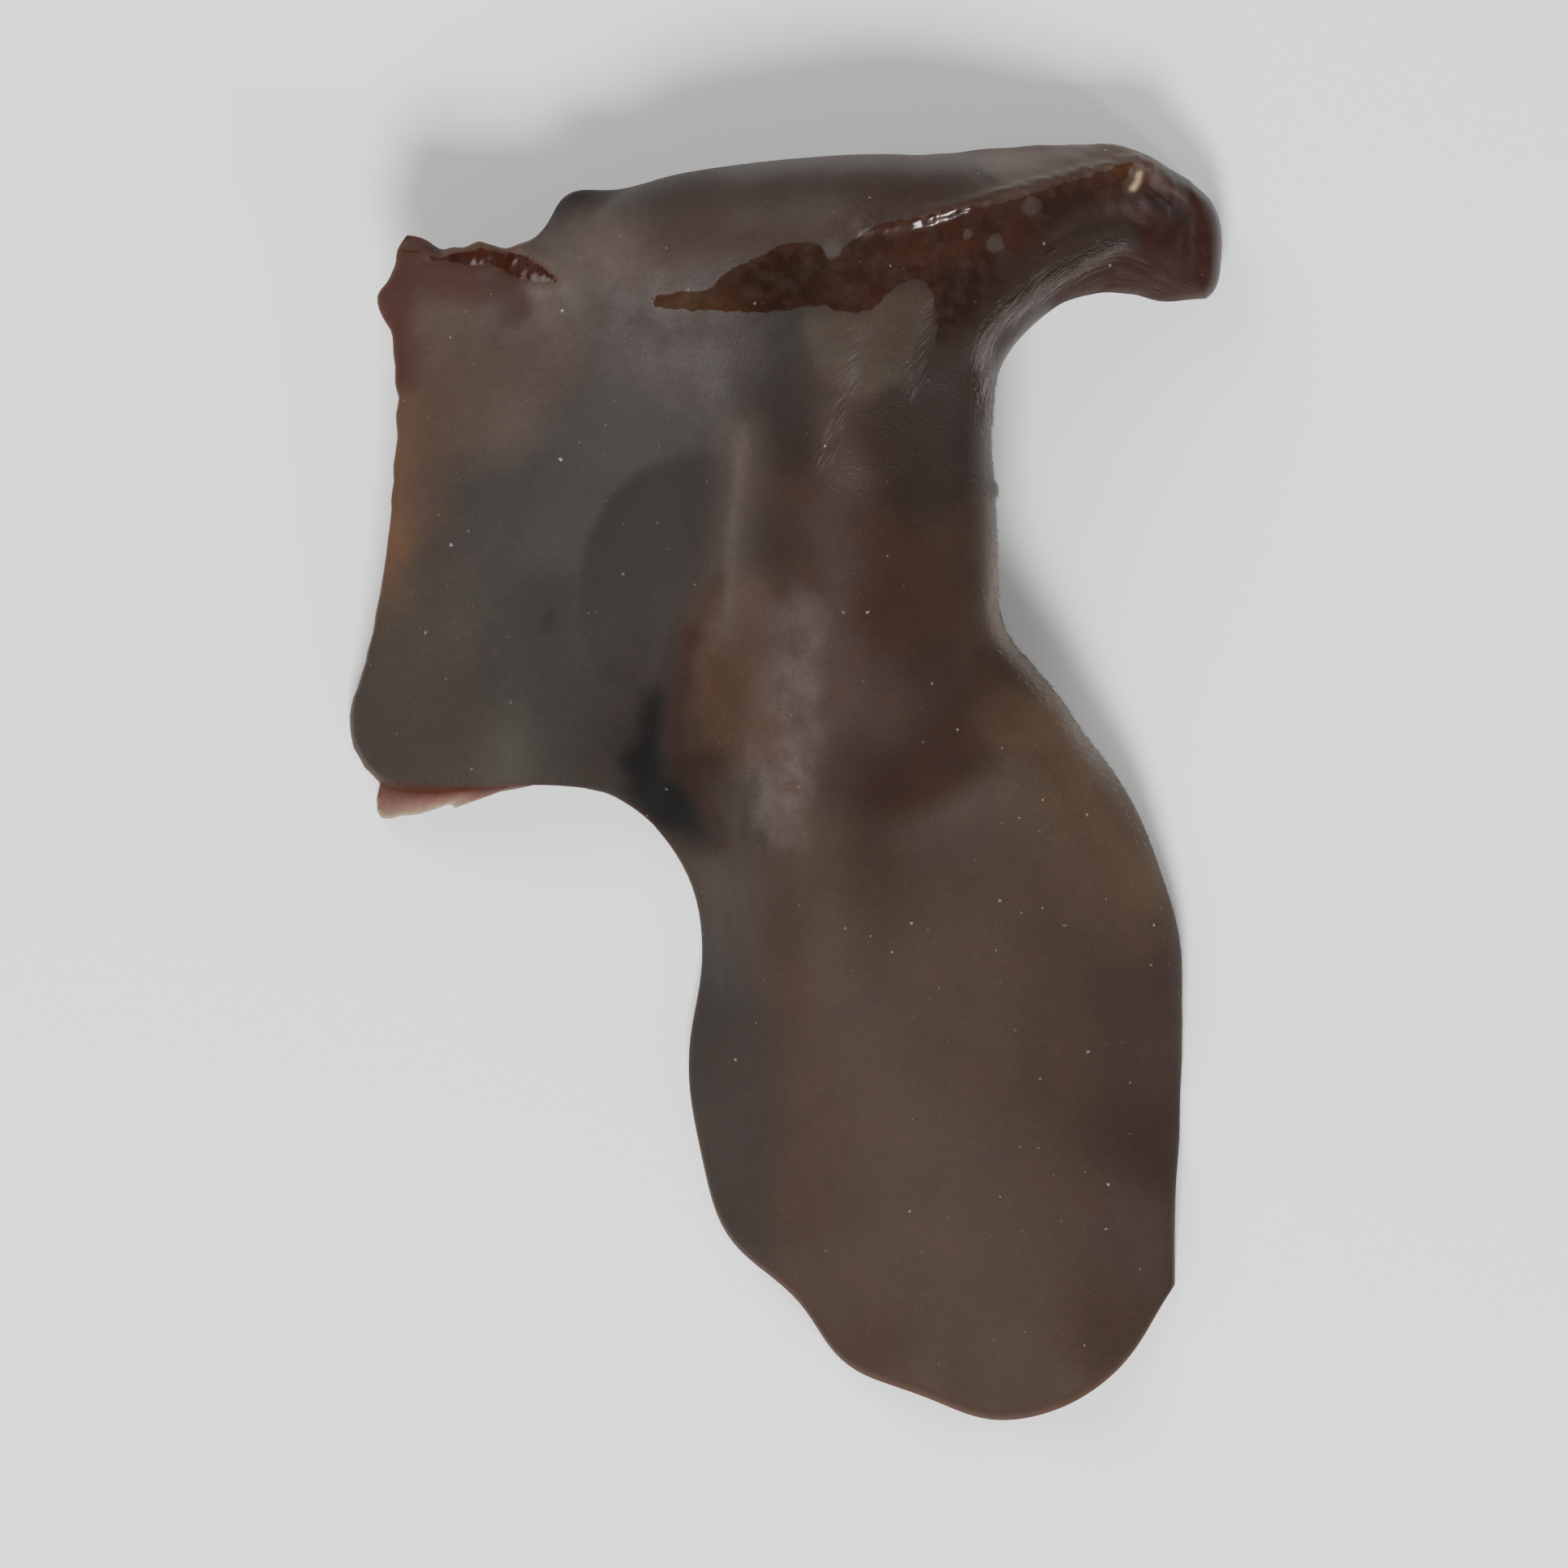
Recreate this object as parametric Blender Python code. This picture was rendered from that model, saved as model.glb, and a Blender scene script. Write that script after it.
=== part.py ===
"""A fresh wood ear mushroom, picked and lying with its smooth side up.

The fruit body grew as one piece. A thin rubbery sheet fans out from a short, thick base. Its
upper edge and its waist turn down and under, one tall fold runs down from the shoulder, and the
sheet ends in a torn panel on the left and a broad lobe below.

A place on the sheet has two coordinates. u goes across the fan, from the upper edge (0) to the
right edge (1), and v goes along its growth, from the base (0) to the margin (1). Seen from above,
the sheet is the patch that its four edges span. It hangs over the heights given below, and past
u = 0 and u = 1 it turns down as a hem.
"""

import bmesh
import bpy
import numpy as np

MM = 0.001

# Driving dimensions, in millimetres.
SHEET_THICKNESS = 2.9
MARGIN_THICKNESS = 2.0
KNOB_THICKNESS = 9.4
RIM_WIDTH = 1.6
LYING_HEIGHT = 0.4
LYING_SOFTNESS = 1.0
FLATTENED = 0.6

# Shares: of v for the knob, of a thickness for the rims.
KNOB_LENGTH = 0.15
KNOB_HOLD = 0.03
KNOB_ROUNDING = 0.3
RIM_SHARE = 0.45

# Mesh: columns across the fan, rows along it, and the share of the columns that each hem takes.
COLUMNS = 54
ROWS = 32
UPPER_HEM_SHARE = 0.16
RIGHT_HEM_SHARE = 0.12
ROW_CROWDING = 0.5

# The grid that holds the plan, and how fast its corners leave the margin's ends for the hems' turn lines.
PLAN_COLUMNS = 61
PLAN_ROWS = 33
SETTLING_STEPS = 2500
CORNER_FADE = 8

# Steps of a and v over which directions are measured.
EDGE_STEP = 0.01
SURFACE_STEP = 0.002

# The four edges as seen from above: X to the right, Y up the page.
UPPER_EDGE = [
    (35.4, 52.6), (33.0, 53.6), (29.6, 54.5), (24.0, 54.9), (19.0, 54.4), (14.2, 53.7), (4.2, 53.3),
    (-4.0, 52.6), (-11.0, 51.4), (-16.6, 49.2), (-21.6, 46.9), (-27.0, 46.8), (-32.8, 47.6),
]
RIGHT_EDGE = [
    (36.4, 42.8), (33.6, 42.0), (30.0, 42.9), (27.2, 43.6), (24.6, 43.6), (22.2, 42.4), (20.0, 40.0),
    (17.2, 37.4), (16.6, 34.0), (16.9, 29.0), (17.4, 21.0), (17.3, 14.2), (19.2, 10.4), (22.2, 7.4),
    (25.0, 3.2), (28.4, -1.0), (31.8, -8.0), (33.7, -14.0), (34.1, -20.0), (34.4, -28.0),
    (34.0, -36.0), (34.0, -46.6),
]
BASE_EDGE = [(35.4, 52.6), (37.4, 50.6), (38.2, 47.6), (37.8, 44.8), (36.4, 42.8)]
MARGIN = [
    (-32.8, 46.0), (-35.6, 42.2), (-34.2, 38.0), (-34.1, 33.0), (-34.6, 23.0), (-36.4, 12.0),
    (-38.3, 3.2), (-35.8, -0.3), (-28.0, -0.8), (-20.8, -0.2), (-15.4, -1.2), (-11.4, -4.0),
    (-8.0, -9.0), (-7.0, -16.0), (-8.6, -25.0), (-7.4, -33.0), (-5.4, -40.0), (1.0, -45.6),
    (5.0, -51.4), (11.5, -54.0), (18.0, -56.4), (25.0, -54.8), (30.0, -50.6), (32.2, -46.8),
]

# Hems: (v, length, radius of the bend, degrees that it turns).
UPPER_HEM = [
    (0.00, 2.4, 3.0, 20), (0.08, 4.6, 2.6, 70), (0.16, 9.0, 3.4, 90), (0.28, 16.0, 5.0, 98),
    (0.45, 20.0, 6.5, 100), (0.62, 16.0, 6.0, 100), (0.75, 9.0, 4.5, 85), (0.86, 3.6, 3.0, 35),
    (1.00, 1.6, 3.0, 10),
]
RIGHT_HEM = [
    (0.00, 2.4, 3.0, 20), (0.05, 3.6, 3.0, 50), (0.12, 7.0, 3.0, 76), (0.19, 9.0, 3.0, 84),
    (0.25, 11.0, 3.4, 100), (0.32, 12.0, 4.0, 108), (0.42, 11.0, 4.5, 105), (0.56, 8.0, 5.0, 80),
    (0.75, 5.0, 6.0, 40), (1.00, 1.6, 6.0, 10),
]

# Heights of the middle of the sheet, as (x, y, height).
KNOB_MIDDLE = 4.0
KNOB = [(37.0, 47.4, 4.0), (35.0, 50.6, 4.0), (35.0, 44.8, 4.0), (32.6, 48.0, 4.6)]
NECK = [
    (28.6, 52.6, 10.8), (28.2, 49.2, 9.4), (27.6, 46.2, 10.4), (22.5, 52.2, 16.4), (22.0, 48.4, 14.8),
    (21.4, 43.8, 16.4),
]
SHOULDER = [
    (14.0, 49.4, 19.8), (12.0, 44.0, 19.2), (6.0, 47.4, 20.0), (-3.0, 45.5, 19.0), (-12.0, 43.5, 17.2),
    (-22.0, 43.0, 15.4), (15.0, 38.6, 19.0),
]
RIDGE = [
    (8.0, 37.0, 20.4), (4.8, 28.0, 20.8), (2.6, 19.0, 20.8), (0.8, 10.0, 20.2), (-0.2, 1.0, 18.6),
    (-1.0, -7.0, 15.4), (-1.4, -15.0, 11.4), (-1.6, -24.0, 8.0),
]
WAIST = [(13.0, 28.0, 18.2), (13.4, 18.0, 17.2), (14.6, 9.0, 16.0), (9.0, 1.0, 16.4)]
VALLEY = [
    (-4.0, 31.0, 16.6), (-5.2, 22.0, 14.4), (-7.0, 13.0, 10.2), (-8.8, 6.0, 6.2), (-9.8, 0.0, 3.2),
    (-9.4, -4.6, 2.0),
]
FOLD_FOOT = [(-7.0, -9.4, 2.0), (-6.4, -16.0, 2.2), (-7.6, -25.0, 3.6)]
PANEL = [
    (-14.0, 35.0, 15.6), (-11.0, 25.0, 13.0), (-15.0, 14.0, 10.8), (-17.0, 4.0, 8.2), (-25.0, 34.0, 14.4),
    (-25.0, 22.0, 12.2), (-26.0, 10.0, 9.6), (-27.0, 1.0, 7.6), (-19.0, 0.4, 7.4),
]
PANEL_RIM = [
    (-33.0, 45.0, 14.6), (-35.6, 41.0, 12.6), (-34.2, 32.0, 10.6), (-34.6, 22.0, 8.8), (-36.4, 11.0, 5.4),
    (-37.6, 3.4, 1.0),
]
LOBE = [
    (8.0, -6.0, 14.6), (19.0, 0.0, 13.4), (27.0, -3.0, 10.0), (10.0, -17.0, 12.0), (21.0, -15.0, 10.6),
    (30.4, -14.0, 6.4), (4.0, -29.0, 8.8), (16.0, -30.0, 9.4), (26.0, -29.0, 6.4), (10.0, -43.0, 5.8),
    (20.0, -44.0, 5.4),
]
LOBE_RIM = [
    (32.0, -20.0, 4.4), (32.2, -29.0, 2.2), (31.8, -37.0, 4.0), (31.6, -45.4, 1.4), (25.0, -53.6, 4.2),
    (18.0, -55.4, 1.2), (11.0, -53.0, 4.0), (4.6, -49.6, 1.2), (-1.0, -43.0, 3.8), (-5.6, -36.0, 1.4),
]


def curve_through(knots, values, place):
    """The smooth curve through the values at the knots, read at each place."""
    knots = np.asarray(knots, float)
    values = np.asarray(values, float)
    slopes = np.gradient(values, knots, axis=0)
    left = np.clip(np.searchsorted(knots, place, side="right") - 1, 0, len(knots) - 2)
    width = (knots[left + 1] - knots[left])[:, None]
    t = (place - knots[left])[:, None] / width
    start = (1 + 2 * t) * (1 - t) ** 2 * values[left] + t * (1 - t) ** 2 * width * slopes[left]
    end = t * t * (3 - 2 * t) * values[left + 1] + t * t * (t - 1) * width * slopes[left + 1]
    return start + end


def edge_at(points, share):
    """The places at these shares of an edge's length."""
    steps = np.linalg.norm(np.diff(points, axis=0), axis=1)
    knots = np.concatenate([[0.0], np.cumsum(steps)])
    return curve_through(knots, points, share * knots[-1])


def hem_at(hem, v):
    """Length, bend radius and turn, in radians, of a hem at each v."""
    table = np.array(hem, float)
    length, radius, turn = curve_through(table[:, 0], table[:, 1:], v).T
    return length, radius, np.radians(np.maximum(turn, 0.0))


def thin_plate(distance):
    return distance**2 * np.log(np.maximum(distance, 1e-6))


def fit_heights():
    """Weights of the smooth surface over all the places whose height is given."""
    groups = KNOB + NECK + SHOULDER + RIDGE + WAIST + VALLEY + FOLD_FOOT + PANEL + PANEL_RIM + LOBE + LOBE_RIM
    places = np.array(groups)
    spots = places[:, :2]
    flat = np.hstack([np.ones((len(spots), 1)), spots])
    pull = thin_plate(np.linalg.norm(spots[:, None] - spots[None], axis=2))
    system = np.block([[pull, flat], [flat.T, np.zeros((3, 3))]])
    return spots, np.linalg.solve(system, np.concatenate([places[:, 2], np.zeros(3)]))


SPOTS, WEIGHTS = fit_heights()


def height_at(spot):
    """Height of the middle of the sheet at each place seen from above."""
    pull = thin_plate(np.linalg.norm(spot[:, None] - SPOTS[None], axis=2))
    return pull @ WEIGHTS[:-3] + WEIGHTS[-3] + spot @ WEIGHTS[-2:]


def turn_line(edge, side, hem, v):
    """Where a hem starts, the way out from there, and how steeply the sheet arrives.

    The bend of the hem just reaches the edge as seen from above.
    """
    ahead = edge_at(edge, np.minimum(v + EDGE_STEP, 1.0)) - edge_at(edge, np.maximum(v - EDGE_STEP, 0.0))
    ahead /= np.linalg.norm(ahead, axis=1)[:, None]
    outward = side * np.stack([ahead[:, 1], -ahead[:, 0]], axis=1)
    rim = edge_at(edge, v)
    length, radius, turn = hem_at(hem, v)
    inside = rim - outward * radius[:, None]
    rise = height_at(inside + outward) - height_at(inside - outward)
    slope = np.arctan(-rise / 2)
    swept = np.minimum(np.minimum(turn, length / radius), np.pi / 2 - slope)
    straight = np.maximum(length - radius * swept, 0.0) * np.maximum(np.cos(slope + turn), 0.0)
    reach = radius * (np.sin(slope + swept) - np.sin(slope)) + straight
    return rim - outward * reach[:, None], outward, slope


def settle(upper, right, base, margin):
    """A grid of places between four edges, evened out until no two of its lines cross."""
    u = np.linspace(0.0, 1.0, PLAN_COLUMNS)[:, None, None]
    v = np.linspace(0.0, 1.0, PLAN_ROWS)[None, :, None]
    corners = (1 - v) * ((1 - u) * upper[0] + u * right[0]) + v * ((1 - u) * upper[-1] + u * right[-1])
    grid = (1 - u) * upper + u * right + (1 - v) * base[:, None] + v * margin[:, None] - corners
    for _ in range(SETTLING_STEPS):
        across = (grid[2:, 1:-1] - grid[:-2, 1:-1]) / 2
        along = (grid[1:-1, 2:] - grid[1:-1, :-2]) / 2
        alpha = (along**2).sum(axis=2, keepdims=True)
        gamma = (across**2).sum(axis=2, keepdims=True)
        beta = (across * along).sum(axis=2, keepdims=True)
        cross = grid[2:, 2:] - grid[2:, :-2] - grid[:-2, 2:] + grid[:-2, :-2]
        total = alpha * (grid[2:, 1:-1] + grid[:-2, 1:-1]) + gamma * (grid[1:-1, 2:] + grid[1:-1, :-2])
        grid[1:-1, 1:-1] = (total - beta * cross / 2) / (2 * (alpha + gamma))
    return grid


def fit_plan():
    """The sheet's plan as a grid over u and v, with one row of places added past each edge."""
    u = np.linspace(0.0, 1.0, PLAN_COLUMNS)
    v = np.linspace(0.0, 1.0, PLAN_ROWS)
    upper = turn_line(UPPER_EDGE, 1, UPPER_HEM, v)[0]
    right = turn_line(RIGHT_EDGE, -1, RIGHT_HEM, v)[0]
    fade = np.stack([(1 - u) ** CORNER_FADE, u**CORNER_FADE], axis=1)
    base = upper[0] + (right[0] - upper[0]) * u[:, None]
    margin = edge_at(MARGIN, u)
    margin = margin + fade @ np.stack([upper[-1] - margin[0], right[-1] - margin[-1]])
    grid = settle(upper, right, base, margin)
    grid = np.concatenate([2 * grid[:1] - grid[1:2], grid, 2 * grid[-1:] - grid[-2:-1]])
    return np.concatenate([2 * grid[:, :1] - grid[:, 1:2], grid, 2 * grid[:, -1:] - grid[:, -2:-1]], axis=1)


PLAN = fit_plan()


def cubic_shares(t):
    """Shares of four neighbours at t between the middle two."""
    return [
        (-t + 2 * t**2 - t**3) / 2, (2 - 5 * t**2 + 3 * t**3) / 2,
        (t + 4 * t**2 - 3 * t**3) / 2, (t**3 - t**2) / 2,
    ]


def plan_at(u, v):
    """The sheet as seen from above."""
    column = u * (PLAN_COLUMNS - 1)
    row = v * (PLAN_ROWS - 1)
    left = np.clip(column.astype(int), 0, PLAN_COLUMNS - 2)
    low = np.clip(row.astype(int), 0, PLAN_ROWS - 2)
    spot = np.zeros((len(u), 2))
    for i, share in enumerate(cubic_shares(column - left)):
        for j, other in enumerate(cubic_shares(row - low)):
            spot += (share * other)[:, None] * PLAN[left + i, low + j]
    return spot


def hem_points(edge, side, hem, u, down, v):
    """Places on a hem, down being the share of its length from the turn line."""
    outward, slope = turn_line(edge, side, hem, v)[1:]
    line = plan_at(np.full(len(v), u), v)
    length, radius, turn = hem_at(hem, v)
    run = down * length
    swept = np.minimum(run / radius, turn)
    straight = run - radius * swept
    heading = slope + swept
    out = radius * (np.sin(heading) - np.sin(slope)) + straight * np.cos(heading)
    drop = radius * (np.cos(slope) - np.cos(heading)) + straight * np.sin(heading)
    return np.column_stack([line + outward * out[:, None], height_at(line) - drop])


def fan_at(a, v):
    """The middle of the sheet before its base is drawn together."""
    body = 1 - UPPER_HEM_SHARE - RIGHT_HEM_SHARE
    u = (a - UPPER_HEM_SHARE) / body
    spot = plan_at(np.clip(u, 0.0, 1.0), v)
    points = np.column_stack([spot, height_at(spot)])
    upper = u < 0
    right = u > 1
    if upper.any():
        down = -u[upper] * body / UPPER_HEM_SHARE
        points[upper] = hem_points(UPPER_EDGE, 1, UPPER_HEM, 0.0, down, v[upper])
    if right.any():
        down = (u[right] - 1) * body / RIGHT_HEM_SHARE
        points[right] = hem_points(RIGHT_EDGE, -1, RIGHT_HEM, 1.0, down, v[right])
    return points


def sheet_at(a, v):
    """The middle of the sheet, which lies flat where it comes low.

    a crosses the whole mesh: the upper hem, the sheet, the right hem.
    """
    end = np.column_stack([edge_at(BASE_EDGE, a), np.full(len(a), KNOB_MIDDLE)])
    pull = np.clip(1 - v / KNOB_LENGTH, 0.0, 1.0)[:, None] ** 3
    points = fan_at(a, v) + pull * (end - fan_at(a, np.zeros(len(a))))
    above = points[:, 2] - LYING_HEIGHT
    points[:, 2] = LYING_HEIGHT + (above + np.sqrt(above**2 + LYING_SOFTNESS**2)) / 2
    return points


def thickness_at(a, v, along_speed):
    """Thickness of the sheet: a thick base, a thinner margin, and a rim that thins on all sides."""
    body = SHEET_THICKNESS + (MARGIN_THICKNESS - SHEET_THICKNESS) * v**2
    thin = np.clip((v - KNOB_HOLD) / (KNOB_LENGTH - KNOB_HOLD), 0.0, 1.0)
    body = KNOB_THICKNESS + (body - KNOB_THICKNESS) * thin * thin * (3 - 2 * thin)
    upper = a / UPPER_HEM_SHARE * hem_at(UPPER_HEM, v)[0]
    right = (1 - a) / RIGHT_HEM_SHARE * hem_at(RIGHT_HEM, v)[0]
    rim = np.minimum(np.minimum(upper, right), np.minimum(v, 1 - v) * along_speed)
    near = 1 - np.clip(rim / np.maximum(RIM_WIDTH, body * KNOB_ROUNDING), 0.0, 1.0)
    return body * (RIM_SHARE + (1 - RIM_SHARE) * np.sqrt(1 - near**2))


def place(a, v, side):
    """The finished surface: smooth upper side where side is 1, underside where it is -1."""
    left = np.maximum(a - SURFACE_STEP, 0.0)
    right = np.minimum(a + SURFACE_STEP, 1.0)
    behind = np.maximum(v - SURFACE_STEP, 0.0)
    before = np.minimum(v + SURFACE_STEP, 1.0)
    across = sheet_at(right, v) - sheet_at(left, v)
    ahead = sheet_at(a, before) - sheet_at(a, behind)
    normal = np.cross(ahead, across)
    normal /= np.linalg.norm(normal, axis=1)[:, None]
    upright = np.clip(1 - v / KNOB_LENGTH, 0.0, 1.0)[:, None]
    normal = normal * (1 - upright) + np.array([0.0, 0.0, 1.0]) * upright
    speed = np.linalg.norm(ahead, axis=1) / (before - behind)
    half = thickness_at(a, v, speed) / 2
    return sheet_at(a, v) + normal * (side * half)[:, None]


def make_ear():
    """A flat slab of the grid's size, with each of its points then placed on the mushroom."""
    mesh = bpy.data.meshes.new("ear")
    bm = bmesh.new()
    bmesh.ops.create_grid(bm, x_segments=COLUMNS, y_segments=ROWS, size=0.5)
    bmesh.ops.solidify(bm, geom=bm.faces[:], thickness=0.1)
    bm.to_mesh(mesh)
    bm.free()

    flat = np.empty(len(mesh.vertices) * 3)
    mesh.vertices.foreach_get("co", flat)
    flat = flat.reshape(-1, 3)
    a = flat[:, 0] + 0.5
    w = flat[:, 1] + 0.5
    v = w - ROW_CROWDING * np.sin(2 * np.pi * w) / (2 * np.pi)
    side = np.where(flat[:, 2] > flat[:, 2].mean(), 1.0, -1.0)
    points = place(a, v, side)

    points[:, 2] = np.maximum(points[:, 2] - FLATTENED, 0.0)
    middle = (points.min(axis=0) + points.max(axis=0)) / 2
    points[:, :2] -= middle[:2]
    mesh.vertices.foreach_set("co", (points * MM).ravel())

    bm = bmesh.new()
    bm.from_mesh(mesh)
    bmesh.ops.triangulate(bm, faces=bm.faces[:])
    bmesh.ops.recalc_face_normals(bm, faces=bm.faces[:])
    bm.to_mesh(mesh)
    bm.free()
    mesh.shade_smooth()
    return bpy.data.objects.new("ear", mesh)


def flesh_material():
    """Wet, rubbery, grey-brown flesh."""
    material = bpy.data.materials.new("ear_flesh")
    material.use_nodes = True
    shader = material.node_tree.nodes["Principled BSDF"]
    shader.inputs["Base Color"].default_value = (0.075, 0.048, 0.038, 1.0)
    shader.inputs["Roughness"].default_value = 0.38
    shader.inputs["Metallic"].default_value = 0.0
    return material


for leftover in list(bpy.data.objects):
    bpy.data.objects.remove(leftover, do_unlink=True)

collection = bpy.data.collections.new("wood_ear_mushroom")
bpy.context.scene.collection.children.link(collection)
ear = make_ear()
ear.data.materials.append(flesh_material())
collection.objects.link(ear)
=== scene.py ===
"""A fresh wood ear mushroom, picked and lying smooth side up on a pale table."""

import math

import bmesh
import bpy
import numpy as np
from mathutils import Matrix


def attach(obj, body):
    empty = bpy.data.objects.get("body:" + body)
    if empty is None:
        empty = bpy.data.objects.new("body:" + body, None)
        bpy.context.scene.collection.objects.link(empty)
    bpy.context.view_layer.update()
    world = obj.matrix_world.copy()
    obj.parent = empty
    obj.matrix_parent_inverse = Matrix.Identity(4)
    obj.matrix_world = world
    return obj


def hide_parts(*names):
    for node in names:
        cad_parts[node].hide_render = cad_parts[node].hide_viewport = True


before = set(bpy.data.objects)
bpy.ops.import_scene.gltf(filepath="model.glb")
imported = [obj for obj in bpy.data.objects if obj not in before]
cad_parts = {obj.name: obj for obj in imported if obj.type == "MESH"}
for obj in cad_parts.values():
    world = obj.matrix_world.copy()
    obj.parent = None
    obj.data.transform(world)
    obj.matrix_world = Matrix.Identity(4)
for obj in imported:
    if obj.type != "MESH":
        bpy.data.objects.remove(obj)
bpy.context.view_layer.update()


# The table, the lights and the camera. The mushroom lies on a pale matt table in a dim light tent.
# A soft light beyond the lower edge of the page makes the sheen, a weaker one from the upper left
# fills the shadows, and a small one from the lower right makes the glints. The camera looks
# straight down from far off.
VIEW_WIDTH = 0.138
CAMERA_HEIGHT = 2.4
SENSOR_WIDTH = 36.0
TABLE_SIZE = 1.5
TABLE_LOOK = {"Base Color": (0.92, 0.92, 0.915, 1.0), "Roughness": 0.9}
TENT_COLOUR = (1.0, 1.0, 1.0, 1.0)
TENT_STRENGTH = 0.30
# Each light's name, place and size in metres, and power in watts. All of them face the mushroom.
SOFT_LIGHTS = [
    ("sheen_light", (-0.05, -0.58, 0.82), 0.32, 14.5),
    ("fill_light", (-0.45, 0.62, 0.62), 0.60, 6.0),
    ("glint_light", (0.58, -0.50, 0.62), 0.12, 2.0),
]


def linked(name, data):
    """A new object in the scene, at the origin."""
    made = bpy.data.objects.new(name, data)
    bpy.context.scene.collection.objects.link(made)
    return made


def new_material(name, look):
    """A new material and its shader, with these values on the shader's inputs."""
    material = bpy.data.materials.new(name)
    material.use_nodes = True
    shader = material.node_tree.nodes["Principled BSDF"]
    for label, value in look.items():
        shader.inputs[label].default_value = value
    return material, shader


view = bpy.data.cameras.new("overhead_camera")
view.sensor_width = SENSOR_WIDTH
view.lens = SENSOR_WIDTH * CAMERA_HEIGHT / VIEW_WIDTH
camera = linked("overhead_camera", view)
camera.location = (0.0, 0.0, CAMERA_HEIGHT)
bpy.context.scene.camera = camera

for name, place, size, power in SOFT_LIGHTS:
    lamp = bpy.data.lights.new(name, "AREA")
    lamp.size = size
    lamp.energy = power
    light = linked(name, lamp)
    light.location = place
    light.rotation_euler = (-light.location).to_track_quat("-Z", "Y").to_euler()

world = bpy.data.worlds.new("light_tent")
world.use_nodes = True
tent = world.node_tree.nodes["Background"]
tent.inputs["Color"].default_value = TENT_COLOUR
tent.inputs["Strength"].default_value = TENT_STRENGTH
bpy.context.scene.world = world

mesh = bpy.data.meshes.new("table")
bm = bmesh.new()
bmesh.ops.create_grid(bm, x_segments=1, y_segments=1, size=TABLE_SIZE / 2)
bm.to_mesh(mesh)
bm.free()
table = linked("table", mesh)
mesh.materials.append(new_material("matt_table", TABLE_LOOK)[0])


# The ear: one thin rubbery sheet that grew out of a short thick base. Its smooth upper side is
# satin and grey-brown, its underside is covered in pale grey down, and its torn and cut edges
# show the amber jelly inside. Its upper edge and its waist turn down and under as hems.
#
# The sheet repeats the solid's drawing, in millimetres. u goes across the fan, from the upper edge
# to the right edge, and v goes along its growth, from the base to the margin. a also crosses the
# two hems, which lie past u = 0 and u = 1.
MM = 0.001
DRAWING_MIDDLE = (-0.268, -0.399)
SHEET_THICKNESS = 2.9
MARGIN_THICKNESS = 2.0
KNOB_THICKNESS = 9.4
RIM_WIDTH = 1.6
LYING_HEIGHT = 0.4
LYING_SOFTNESS = 1.0
FLATTENED = 0.6
KNOB_LENGTH = 0.15
KNOB_HOLD = 0.03
KNOB_ROUNDING = 0.3
KNOB_MIDDLE = 4.0
RIM_SHARE = 0.32
UPPER_HEM_SHARE = 0.16
RIGHT_HEM_SHARE = 0.12
PLAN_COLUMNS = 61
PLAN_ROWS = 33
SETTLING_STEPS = 2500
CORNER_FADE = 8
EDGE_STEP = 0.01

UPPER_EDGE = [
    (35.4, 52.6), (33.0, 53.6), (29.6, 54.5), (24.0, 54.9), (19.0, 54.4), (14.2, 53.7), (4.2, 53.3),
    (-4.0, 52.6), (-11.0, 51.4), (-16.6, 49.2), (-21.6, 46.9), (-27.0, 46.8), (-32.8, 47.6),
]
RIGHT_EDGE = [
    (36.4, 42.8), (33.6, 42.0), (30.0, 42.9), (27.2, 43.6), (24.6, 43.6), (22.2, 42.4), (20.0, 40.0),
    (17.2, 37.4), (16.6, 34.0), (16.9, 29.0), (17.4, 21.0), (17.3, 14.2), (19.2, 10.4), (22.2, 7.4),
    (25.0, 3.2), (28.4, -1.0), (31.8, -8.0), (33.7, -14.0), (34.1, -20.0), (34.4, -28.0),
    (34.0, -36.0), (34.0, -46.6),
]
BASE_EDGE = [(35.4, 52.6), (37.4, 50.6), (38.2, 47.6), (37.8, 44.8), (36.4, 42.8)]
MARGIN = [
    (-32.8, 46.0), (-35.6, 42.2), (-34.2, 38.0), (-34.1, 33.0), (-34.6, 23.0), (-36.4, 12.0),
    (-38.3, 3.2), (-35.8, -0.3), (-28.0, -0.8), (-20.8, -0.2), (-15.4, -1.2), (-11.4, -4.0),
    (-8.0, -9.0), (-7.0, -16.0), (-8.6, -25.0), (-7.4, -33.0), (-5.4, -40.0), (1.0, -45.6),
    (5.0, -51.4), (11.5, -54.0), (18.0, -56.4), (25.0, -54.8), (30.0, -50.6), (32.2, -46.8),
]

# Hems: (v, length, radius of the bend, degrees that it turns).
UPPER_HEM = [
    (0.00, 2.4, 3.0, 20), (0.08, 4.6, 2.6, 70), (0.16, 9.0, 3.4, 90), (0.28, 16.0, 5.0, 98),
    (0.45, 20.0, 6.5, 100), (0.62, 16.0, 6.0, 100), (0.75, 9.0, 4.5, 85), (0.86, 3.6, 3.0, 35),
    (1.00, 1.6, 3.0, 10),
]
RIGHT_HEM = [
    (0.00, 2.4, 3.0, 20), (0.05, 3.6, 3.0, 50), (0.12, 7.0, 3.0, 76), (0.19, 9.0, 3.0, 84),
    (0.25, 11.0, 3.4, 100), (0.32, 12.0, 4.0, 108), (0.42, 11.0, 4.5, 105), (0.56, 8.0, 5.0, 80),
    (0.75, 5.0, 6.0, 40), (1.00, 1.6, 6.0, 10),
]

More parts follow.
